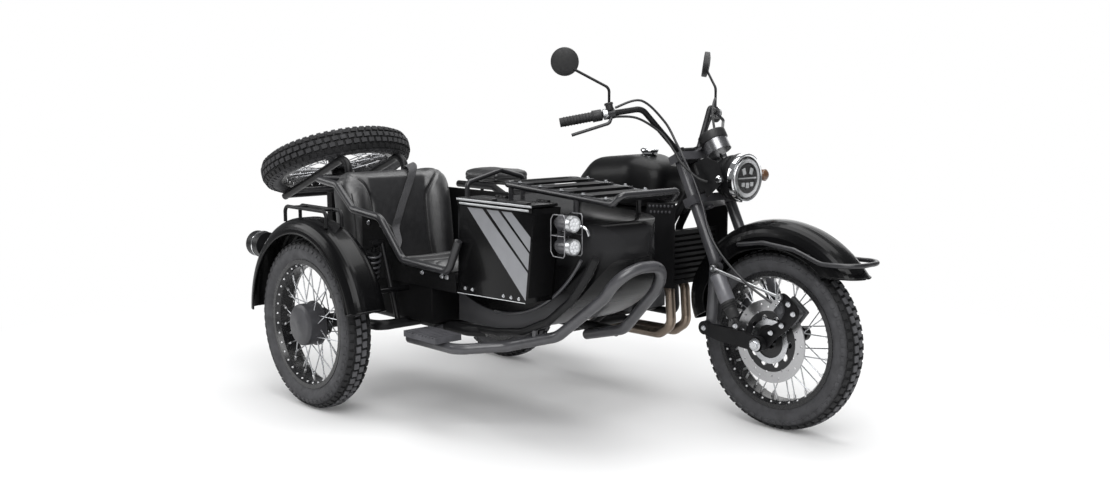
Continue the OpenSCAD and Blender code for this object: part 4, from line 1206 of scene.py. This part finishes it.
# Bodywork
class OUTFIT_OT_bodywork(bpy.types.Operator):
    """Tank, nose, tub, side box with its stripes, fenders and their edges"""
    bl_idname = "outfit.bodywork"
    bl_label = "Bodywork"

    def execute(self, context):
        self.tank()
        soften("tub_nose", "nose_shell", "chassis", finish("bow_paint_and_reflection"), 0.014, 4, 24)
        soften("seat_tub", "tub_shell", "chassis", finish("pebbled_panel"), 0.0035, 3)
        soften("side_box", "side_box_shell", "chassis", finish("gloss_paint"), 0.0018, 2)
        soften("box_lid", "side_box_lid", "box_lid", finish("gloss_paint"), 0.0016, 2)
        self.stripes()
        self.sidecar_fender_edges()
        self.front_fender_edges()
        self.rear_fender_edges()
        self.bow_flange()
        self.skirt()
        for node in ("front_fender", "rear_fender", "sidecar_fender"):
            dress(node, "gloss_paint")
        return {"FINISHED"}

    def tank(self):
        obj = copy_of("fuel_tank")
        modify(obj, "REMESH", mode="VOXEL", voxel_size=0.007)
        modify(obj, "SMOOTH", factor=0.5, iterations=40)
        modify(obj, "SUBSURF", levels=1, render_levels=1)
        smooth(obj, 80)
        piece(obj, "tank_shell", "chassis", finish("tank_paint"), ("fuel_tank",))
        cap = lathe([(0.0, 0.0255), (0.010, 0.0252), (0.024, 0.0235), (0.030, 0.0215), (0.0355, 0.0175),
                     (0.0362, 0.013), (0.034, 0.009), (0.031, 0.006), (0.031, 0.0005)], 48,
                    aim(at(905, 0, 966), (0, 0, 1)))
        piece(cap, "filler_cap", "chassis", finish("chrome"), ("tank_cap",))

    def stripes(self):
        face = -880.0
        bands = [[(866, 812), (950, 812), (1185, 617), (1174, 522)],
                 [(972, 812), (1035, 812), (1193, 682), (1187, 626)],
                 [(1052, 812), (1104, 812), (1200, 737), (1195, 690)]]
        made = [sheet_patch([at(x, face - 0.05, z) for x, z in band], 0.0009) for band in bands]
        piece(joined(made), "box_stripes", "chassis", finish("stripe_foil"))
        lean = math.atan2(1211 - 1174, 830 - 512)
        place = Matrix.Translation(at(1193.6, -817.6, 671)) @ Matrix.Rotation(lean, 4, "Y")
        front = slab((0.0016, 0.104, 0.285), place, 0.0007)
        piece(front, "box_front_panel", "chassis", finish("pebbled_panel"))
        latches = [slab((0.058, 0.024, 0.009), Matrix.Translation(at(x, -877, 847.5)), 0.003, 3)
                   for x in (984, 1160)]
        piece(joined(latches), "lid_latches", "box_lid", finish("moulded_plastic"))
        strips = []
        for back, front, z in ((818, 1217, 839), (834, 1203, 825)):
            middle = Matrix.Translation(at((back + front) / 2, -890.2, z))
            strips.append(slab(((front - back) / 1000, 0.004, 0.0075), middle, 0.0017, 3))
        piece(joined(strips), "lid_strips", "box_lid", finish("satin_alloy"))
        edge = pipe([at(805, -881, 503), at(1173, -881, 513.5)], 0.0016)
        piece(edge, "box_low_edge", "chassis", finish("satin_alloy"))

    def skirt(self):
        """Side panel of the tub that closes the gap between its sill and the seat rail."""
        rail = [(206, -931, 762), (300, -931, 749), (392, -931, 741), (420, -921, 706), (450, -909, 654),
                (480, -898, 602), (506, -894, 583), (640, -894, 580), (764, -894, 577), (803, -894, 577)]
        columns = through([Vector(p) for p in rail], 4)
        obj = add("grid", x_subdivisions=len(columns) - 1, y_subdivisions=3, size=1)
        rows = sorted(obj.data.vertices, key=lambda v: (round(v.co.y, 3), v.co.x))
        for i, (x, y, z) in enumerate(columns):
            for j, place in enumerate(((x, -883, 500), (x, -884, 505 + (z - 505) * 0.4), (x, -884, z - 30),
                                       (x, y + 4, z - 3))):
                rows[i + j * len(columns)].co = at(*place)
        recalculate(obj, 1e-7)
        modify(obj, "SOLIDIFY", thickness=0.0024, offset=0)
        smooth(obj, 40)
        piece(obj, "tub_skirt", "chassis", finish("pebbled_panel"))

    def sidecar_fender_edges(self):
        """Beads round the open edges of the sidecar's fender, with a light alloy strip on the inner one as a
        painted highlight.
        """
        bead = []
        for y in (-1165, -1010):
            low = 352 if y < -1100 else 305
            line = []
            for i in range(60):
                a = math.radians(14 + (178 - 14) * i / 59)
                line.append(at(180 + low * math.cos(a), y, 328 + low * math.sin(a)))
            bead.append(pipe(line, 0.0042))
            if y > -1100:
                # A light alloy strip along part of the inner bead: painted highlight of the rolled edge
                painted_highlight_strip = pipe([p + Vector((0, 0.0015, 0)) for p in line[6:26]], 0.0046)
        piece(joined(bead), "fender_edge_bead", "chassis", finish("gloss_paint"))
        piece(painted_highlight_strip, "fender_edge_painted_highlight", "chassis", finish("satin_alloy"))
        a = math.radians(14)
        turns = [math.radians(90 * i / 10) for i in range(11)]
        profile = [(352, -1165)] + [(356 + 52 * math.sin(t), -1113 - 52 * math.cos(t)) for t in turns]
        profile += [(356 + 52 * math.cos(t), -1062 + 52 * math.sin(t)) for t in turns] + [(305, -1010)]
        line = [at(180 + r * math.cos(a), y, 328 + r * math.sin(a)) for r, y in profile]
        piece(pipe(line, 0.0045), "fender_front_bead", "chassis", finish("gloss_paint"))

    def front_fender_edges(self):
        """Beads that follow the tip, the side and the tail of the front fender."""
        arcs = []
        for side in (-1, 1):
            line = [(1899.5, 12 * side, 588)]
            for i in range(11):
                t = math.radians(90 - 9 * i)
                line.append((1560 + math.sqrt((362 + 70 * math.sin(t)) ** 2 - 260 ** 2),
                             side * (6 + 70 * math.cos(t)), 588))
            for i in range(36):
                a = math.radians(51 + (150 - 51) * i / 35)
                line.append((1560 + 335 * math.cos(a), side * 76, 328 + 335 * math.sin(a)))
            for i in range(1, 13):
                a = math.radians(150 + 58 * i / 12)
                line.append((1359.1 + 103 * math.cos(a), side * 76, 444 + 103 * math.sin(a)))
            arcs.append(pipe([at(*p) for p in line], 0.0036))
        piece(joined(arcs), "front_fender_bead", "steering", finish("gloss_paint"))

    def rear_fender_edges(self):
        arcs = []
        for y in (-78, 78):
            line = []
            for i in range(56):
                a = math.radians(38 + (195 - 38) * i / 55)
                line.append(at(345 * math.cos(a), y, 328 + 345 * math.sin(a)))
            arcs.append(pipe(line, 0.0036))
        piece(joined(arcs), "rear_fender_bead", "chassis", finish("gloss_paint"))

    def bow_flange(self):
        """Flange along the seam of the bow."""
        trim = []
        for i in range(40):
            a = math.radians(-92 + (-33 + 92) * i / 39)
            trim.append(at(BOW[0] + 513 * math.cos(a), -756.5, BOW[2] + 513 * math.sin(a)))
        piece(pipe(trim, 0.0062), "bow_flange", "chassis", finish("bar_grey"))


# Running gear
def bolt_model(across=0.0075, height=0.006):
    obj = add("cylinder", vertices=6, radius=across, depth=height)
    modify(obj, "BEVEL", width=across * 0.16, segments=2)
    obj.data.transform(Matrix.Translation((0, 0, height / 2 + 0.0015)))
    washer = lathe([(0.0, 0.0), (across * 1.35, 0.0), (across * 1.35, 0.0012), (across * 1.2, 0.0018),
                    (0.0, 0.0018)], 20)
    return joined([obj, washer])


def coil(turns, radius, wire, length):
    """A spring round local Z, wound from a small circle."""
    obj = add("circle", vertices=10, radius=wire)
    obj.data.transform(Matrix.Translation((radius, 0, 0)) @ Matrix.Rotation(math.radians(90), 4, "X"))
    modify(obj, "SCREW", axis="Z", angle=2 * math.pi, screw_offset=(length - 2 * wire) / turns,
           iterations=turns, steps=28, render_steps=28)
    obj.data.transform(Matrix.Translation((0, 0, wire)))
    recalculate(obj)
    return smooth(obj, 60)


class OUTFIT_OT_running_gear(bpy.types.Operator):
    """Springs, rubber boots, fasteners, cables and hoses, and the finishes of frame, fork and engine"""
    bl_idname = "outfit.running_gear"
    bl_label = "Running gear"

    def execute(self, context):
        for node in ("main_frame", "sidecar_frame", "swingarm", "leading_links", "handlebar", "fender_rack",
                     "spare_carrier", "radiator"):
            dress(node, "satin_paint")
        for node in ("fender_guard", "seat_rail"):
            dress(node, "tube_grey")
        for node in ("crash_bar", "fork"):
            dress(node, "bar_grey")
        dress("luggage_rack", "rack_paint")
        dress("gauge", "gauge_shell")
        dress("engine", "engine_casting")
        dress("air_box", "moulded_plastic")
        dress("exhaust", "exhaust_metal")
        dress("footstep", "step_grey")
        dress("grips", "moulded_rubber")
        dress("levers", "tube_grey")
        dress("shocks", "satin_paint")
        dress("front_shocks", "moulded_rubber")
        self.radiator_core()
        self.springs()
        self.boots()
        self.grip_ribs()
        self.controls()
        self.calliper()
        self.torque_rod()
        self.fasteners()
        self.cables()
        return {"FINISHED"}

    def radiator_core(self):
        """Fine fins that close the view through the louvres."""
        fins = []
        for i in range(48):
            fin = add("cube", size=1)
            middle = Matrix.Translation(at(1108, -131 + 262 * i / 47, 586))
            fin.data.transform(middle @ Matrix.Diagonal((0.008, 0.0018, 0.196, 1)))
            fins.append(fin)
        sheet = slab((0.004, 0.270, 0.202), Matrix.Translation(at(1102, 0, 586)), 0.001)
        piece(joined([sheet, *fins]), "radiator_core", "chassis", finish("moulded_plastic"))

    def springs(self):
        made = []
        for low, high in (((40, 137, 348), (150, 137, 736)), ((40, -137, 348), (150, -137, 736)),
                          ((310, -940, 374), (370, -940, 640))):
            a, b = at(*low), at(*high)
            span = (b - a).length
            spring = coil(11 if span > 0.35 else 8, 0.029, 0.0046, span * 0.66)
            made.append(moved(spring, aim(a + (b - a) * 0.21, b - a)))
        piece(joined(made), "rear_springs", "chassis", finish("bar_grey"))

    def boots(self):
        sleeves, rings = [], []
        for side in (-1, 1):
            top, low = at(1354, side * 132.5, 578), at(1466, side * 132.5, 381)
            span = (low - top).length
            place = aim(top, low - top)
            sleeve = [(0.0, 0.105), (0.020, 0.105), (0.0265, 0.125), (0.0285, 0.15), (0.0285, 0.58),
                      (0.0265, 0.60), (0.0, 0.60)]
            sleeves.append(lathe([(r, span * t) for r, t in sleeve], 36, place))
            boot = [(0.0, 0.600), (0.0275, 0.605), (0.0295, 0.620), (0.0275, 0.635), (0.0255, 0.640),
                    (0.0280, 0.655), (0.0260, 0.672), (0.0240, 0.677), (0.0265, 0.692), (0.0245, 0.708),
                    (0.0228, 0.715), (0.0235, 0.74), (0.0225, 0.85), (0.0205, 0.875), (0.0, 0.875)]
            rings.append(lathe([(r, span * t) for r, t in boot], 36, place, 25))
        piece(joined(sleeves), "front_shock_sleeves", "steering", finish("sleeve_grey"))
        piece(joined(rings), "front_shock_boots", "steering", finish("moulded_rubber"))

    def grip_ribs(self):
        made = []
        for side in (-1, 1):
            end = at(870, side * 440, 1096)
            inner = at(965, side * 330, 1123)
            along = (end - inner).normalized()
            for i in range(9):
                place = end - along * (0.012 + i * 0.0115)
                made.append(lathe(ring_profile(0.0168, 0.0022, 8), 28, aim(place, along)))
        piece(joined(made), "grip_ribs", "steering", finish("moulded_rubber"))

    def controls(self):
        """Switch housings and lever perches beside the grips, and the brake reservoir."""
        housings, perches = [], []
        for side in (-1, 1):
            inner, end = at(965, side * 330, 1123), at(870, side * 440, 1096)
            along = (inner - end).normalized()
            drum = [(0.0145, 0.0), (0.0205, 0.002), (0.0215, 0.006), (0.0215, 0.030), (0.0200, 0.034),
                    (0.0145, 0.036), (0.0145, 0.0)]
            housings.append(lathe(drum, 32, aim(inner - along * 0.030, along)))
            clamp = [(0.0145, 0.0), (0.0180, 0.001), (0.0190, 0.004), (0.0190, 0.016), (0.0180, 0.019),
                     (0.0145, 0.020), (0.0145, 0.0)]
            perches.append(lathe(clamp, 28, aim(inner + along * 0.008, along)))
        pot = [(0.0, 0.0), (0.0130, 0.0), (0.0140, 0.003), (0.0140, 0.020), (0.0165, 0.021), (0.0165, 0.027),
               (0.0150, 0.029), (0.0, 0.029)]
        housings.append(lathe(pot, 32, aim(at(990, -306, 1140), (-0.25, -0.1, 1))))
        piece(joined(housings), "switch_housings", "steering", finish("moulded_plastic"))
        piece(joined(perches), "lever_perches", "steering", finish("satin_alloy"))

    def calliper(self):
        """Hooked bracket on the axle with the calliper's two halves, their bridge and one piston cap."""
        place = upright_wheel(FRONT_AXLE) @ Matrix.Rotation(math.radians(-52), 4, "Z")
        halves = []
        # Low and high corner along the bracket, across it and along the axle
        for low, high in (((122, -42, -109.5), (188, 42, -70)), ((122, -42, -54), (188, 42, -36)),
                          ((159, -36, -74), (188, 36, -50))):
            low, high = Vector(low) / 1000, Vector(high) / 1000
            halves.append(slab(high - low, Matrix.Translation((low + high) / 2), 0.005, 3))
        cap = [(0.0, -0.1170), (0.0120, -0.1170), (0.0165, -0.1145), (0.0175, -0.1100), (0.0175, -0.1040)]
        halves.append(lathe(cap, 36, Matrix.Translation((0.147, -0.021, 0))))
        body = smooth(joined(halves), 40)
        piece(moved(body, place), "calliper_halves", "steering", finish("engine_casting"),
              ("calliper",))
        outline = [(-27, -8), (-20, 18), (6, 28), (48, 30), (104, 42), (160, 50), (192, 42), (206, 18),
                   (207, -20), (203, -46), (190, -58), (176, -50), (171, -24), (156, -4), (120, 2), (84, -10),
                   (44, -26), (8, -28), (-16, -22)]
        edge = through([Vector((u, v, -110)) / 1000 for u, v in outline + outline[:1]], 5)[:-1]
        plate = modify(sheet_patch(edge, 0.009), "BEVEL", width=0.0012, segments=2, limit_method="ANGLE")
        piece(moved(smooth(plate, 35), place), "calliper_bracket", "steering",
              finish("satin_paint"))
        screws = [lathe([(0.0, 0.0), (0.0060, 0.0), (0.0060, 0.006), (0.0042, 0.007), (0.0042, 0.016),
                         (0.0, 0.016)], 20,
                        place @ aim(Vector((u, -0.0415, -0.092)), (0, -1, 0))) for u in (0.136, 0.156)]
        piece(joined(screws), "calliper_screws", "steering", finish("chrome"))

    def torque_rod(self):
        """Rod that holds the brake calliper back to the fork leg."""
        ends = at(1362, -148, 577), at(1642, -126.5, 506)
        made = [pipe(ends, 0.0055, sides=7)]
        for place in ends:
            eye = [(0.0055, -0.007), (0.0115, -0.007), (0.0125, -0.005), (0.0125, 0.005), (0.0115, 0.007),
                   (0.0055, 0.007), (0.0055, -0.007)]
            made.append(lathe(eye, 28, aim(place, (0, -1, 0))))
        piece(joined(made), "calliper_torque_rod", "steering", finish("satin_alloy"))

    def fasteners(self):
        steering, chassis, dark = [], [], []
        for side in (-1, 1):
            out = Vector((0, side, 0))
            for x, z in ((1319, 351), (1466, 381), (1354, 578)):
                steering.append(aim(at(x, side * 143.6, z), out))
            steering.append(aim(at(1560, side * 149.6, 328), out) @ Matrix.Diagonal((2.3, 2.3, 1.8, 1)))
            for x, z in ((40, 348), (150, 736)):
                chassis.append(aim(at(x, side * 151.2, z), out))
            chassis.append(aim(at(0, side * 118.2, 328), out) @ Matrix.Diagonal((1.9, 1.9, 1.6, 1)))
            for i in range(6):
                angle = math.radians(60 * i + 20)
                wide = -160.2 if side < 0 else 155.2
                spot = at(640 + 78 * math.cos(angle), wide, 440 + 78 * math.sin(angle))
                chassis.append(aim(spot, out) @ Matrix.Scale(0.7, 4))
            for x in (-50, -20):
                spot = Matrix.Translation((x / 1000 + 0.055, side * 0.10, 0.0172))
                steering.append(HEAD_PLACE @ spot @ Matrix.Scale(0.8, 4))
        up = Vector((0, 0, 1))
        for x in (956, 1058, 1160, 1262, 1364):
            rise = 885 - 37 * (x - 880) / 515
            taper = 24 * (x - 880) / 515
            for y in (-720 + taper, -385 - taper):
                chassis.append(aim(at(x, y, rise + 13.6), up) @ Matrix.Scale(0.8, 4))
        right = Vector((0, -1, 0))
        for x, z in ((255, 706), (345, 702), (603, 552), (722, 552), (753, 552)):
            chassis.append(aim(at(x, -886.6, z), right) @ Matrix.Scale(0.9, 4))
        for x in (1060, 1100, 1140, 850, 890):
            chassis.append(aim(at(x, -880.1, 524), right) @ Matrix.Scale(0.6, 4))
        for side in (-1, 1):
            for row, count in ((12, 7), (34, 6)):
                for i in range(count):
                    x = 1050 + 19 * i + row * 0.3
                    place = aim(at(x, side * 155.1, 792 + (x - 1040) * 0.058 - row), Vector((0, side, 0)))
                    dark.append(place @ Matrix.Scale(0.5, 4))
        turn = math.radians(52)
        for u, v in ((182, 30), (194, -6), (116, 22), (62, 6)):
            x = 1560 + u * math.cos(turn) + v * math.sin(turn)
            z = 328 + u * math.sin(turn) - v * math.cos(turn)
            steering.append(aim(at(x, -119.1, z), right))
        out = Vector((-math.sin(SPARE_TILT), 0, math.cos(SPARE_TILT)))
        chassis.append(aim(at(*SPARE_AT) + out * 0.0592, out) @ Matrix.Scale(1.8, 4))
        piece(copies(bolt_model(), steering), "steering_bolts", "steering",
              finish("bolt_steel"))
        piece(copies(bolt_model(), chassis), "chassis_bolts", "chassis", finish("bolt_steel"))
        piece(copies(bolt_model(), dark), "cheek_bolts", "chassis", finish("bar_grey"))

    def cables(self):
        runs = [
            ("brake_hose", "tube_grey",
             [(1000, -290, 1150), (1050, -205, 1176), (1100, -132, 1100), (1150, -118, 1020),
              (1205, -130, 955), (1255, -138, 890), (1300, -140, 800), (1345, -150, 700),
              (1420, -158, 620), (1520, -150, 540), (1612, -127, 482)]),
            ("throttle_cable", "moulded_rubber",
             [(985, -300, 1116), (1045, -222, 1112), (1098, -146, 1056), (1150, -134, 996),
              (1205, -146, 946), (1262, -128, 898), (1298, -112, 884)]),
            ("clutch_cable", "moulded_rubber",
             [(985, 292, 1128), (1040, 230, 1180), (1120, 120, 1130), (1190, 60, 1040), (1240, 40, 960)]),
            ("switch_lead", "moulded_rubber",
             [(985, 300, 1108), (1030, 225, 1110), (1090, 120, 1040), (1180, 70, 1000), (1235, 55, 950)]),
        ]
        for name, coat, points in runs:
            line = through([at(*p) for p in points], 8)
            obj = pipe(line, sizes().cable)
            piece(obj, name, "steering", finish(coat))


class OUTFIT_OT_stage(bpy.types.Operator):
    """Pale floor, soft studio light and the camera at the photograph's view"""
    bl_idname = "outfit.stage"
    bl_label = "Stage"

    def execute(self, context):
        scene = context.scene
        scene.view_settings.view_transform = "Standard"
        self.floor()
        self.backdrop(scene)
        self.lights(scene)
        self.camera(scene)
        return {"FINISHED"}

    def floor(self):
        floor = add("plane", size=60)
        floor.name = "studio_floor"
        tree = Nodes("studio_floor")
        tree.colour(tree.ramp(tree.noise(1.2, 2), [(0.3, (0.84, 0.84, 0.84)), (0.7, (0.87, 0.87, 0.87))]))
        tree.put(Roughness=0.7, Specular_IOR_Level=0.15)
        # Far from the object the camera sees the floor as the same white as the backdrop
        length = tree.add("ShaderNodeVectorMath", operation="LENGTH")
        tree.link(tree.place, length.inputs[0])
        seen = tree.add("ShaderNodeLightPath")
        far = tree.add("ShaderNodeMath", operation="MULTIPLY")
        tree.link(tree.spread(length.outputs["Value"], 0.10, 1, 1.3, 3.0), far.inputs[0])
        tree.link(seen.outputs["Is Camera Ray"], far.inputs[1])
        glow = tree.add("ShaderNodeEmission")
        mix = tree.add("ShaderNodeMixShader")
        tree.link(far.outputs[0], mix.inputs["Fac"])
        tree.link(tree.shader.outputs[0], mix.inputs[1])
        tree.link(glow.outputs[0], mix.inputs[2])
        tree.link(mix.outputs[0], tree.tree.nodes["Material Output"].inputs["Surface"])
        floor.data.materials.append(tree.material)

    def backdrop(self, scene):
        """A dim surround for the light, which the camera and clear glass see as white."""
        world = bpy.data.worlds.new("studio_world")
        scene.world = world
        world.use_nodes = True
        nodes, links = world.node_tree.nodes, world.node_tree.links
        back = nodes["Background"]
        back.inputs["Color"].default_value = (0.95, 0.96, 0.98, 1)
        back.inputs["Strength"].default_value = 0.22
        white = nodes.new("ShaderNodeBackground")
        white.inputs["Color"].default_value = (1, 1, 1, 1)
        white.inputs["Strength"].default_value = 1.0
        path = nodes.new("ShaderNodeLightPath")
        mix = nodes.new("ShaderNodeMixShader")
        either = nodes.new("ShaderNodeMath")
        either.operation = "MAXIMUM"
        links.new(path.outputs["Is Camera Ray"], either.inputs[0])
        links.new(path.outputs["Is Transmission Ray"], either.inputs[1])
        links.new(either.outputs[0], mix.inputs["Fac"])
        links.new(back.outputs[0], mix.inputs[1])
        links.new(white.outputs[0], mix.inputs[2])
        links.new(mix.outputs[0], nodes["World Output"].inputs["Surface"])

    def lights(self, scene):
        for name, place, aim_at, power, size in (
                ("key_light", (3.6, -3.2, 4.2), (0.1, 0.0, 0.5), 270, 4.2),
                ("fill_light", (-3.6, -3.4, 3.0), (-0.2, 0, 0.5), 110, 3.0),
                ("top_light", (0.2, 0.4, 5.0), (0.1, 0, 0.4), 200, 4.0),
                ("rim_light", (-1.5, 4.4, 3.2), (0, 0, 0.6), 95, 4.6)):
            data = bpy.data.lights.new(name, "AREA")
            data.energy = power
            data.size = size
            lamp = bpy.data.objects.new(name, data)
            lamp.location = place
            lamp.rotation_euler = (Vector(aim_at) - Vector(place)).to_track_quat("-Z", "Y").to_euler()
            scene.collection.objects.link(lamp)

    def camera(self, scene):
        turn, rise, far = math.radians(47.732), math.radians(7.941), 4.381
        target = at(846, -450, 619)
        photo_width, focal_length = 1110, 1165.8
        back_way = Vector((math.sin(turn) * math.cos(rise), -math.cos(turn) * math.cos(rise), math.sin(rise)))
        data = bpy.data.cameras.new("photo_camera")
        data.sensor_width = 36
        data.lens = data.sensor_width * focal_length / photo_width
        data.clip_end = 200
        camera = bpy.data.objects.new("photo_camera", data)
        camera.location = target + back_way * far
        camera.rotation_euler = (-back_way).to_track_quat("-Z", "Y").to_euler()
        scene.collection.objects.link(camera)
        scene.camera = camera


class OUTFIT_PT_panel(bpy.types.Panel):
    """Lists the steps that dress the outfit"""
    bl_idname = "OUTFIT_PT_panel"
    bl_label = "Outfit"
    bl_space_type = "VIEW_3D"
    bl_region_type = "UI"
    bl_category = "Outfit"

    def draw(self, context):
        for step in STEPS:
            self.layout.operator(step.bl_idname)
        for group in (context.scene.outfit_sizes, context.scene.outfit_finish):
            for key in group.__annotations__:
                self.layout.prop(group, key)


STEPS = (OUTFIT_OT_stage, OUTFIT_OT_wheels, OUTFIT_OT_bodywork, OUTFIT_OT_seats, OUTFIT_OT_lamps,
         OUTFIT_OT_running_gear)
CLASSES = (OutfitFinish, OutfitSizes, *STEPS, OUTFIT_PT_panel)


def register():
    for item in CLASSES:
        bpy.utils.register_class(item)
    bpy.types.Scene.outfit_finish = PointerProperty(type=OutfitFinish)
    bpy.types.Scene.outfit_sizes = PointerProperty(type=OutfitSizes)


def unregister():
    del bpy.types.Scene.outfit_sizes
    del bpy.types.Scene.outfit_finish
    for item in reversed(CLASSES):
        bpy.utils.unregister_class(item)


def main():
    register()
    bpy.ops.outfit.stage()
    bpy.ops.outfit.wheels()
    bpy.ops.outfit.bodywork()
    bpy.ops.outfit.seats()
    bpy.ops.outfit.lamps()
    bpy.ops.outfit.running_gear()
    clear_selection()


if __name__ == "__main__":
    main()
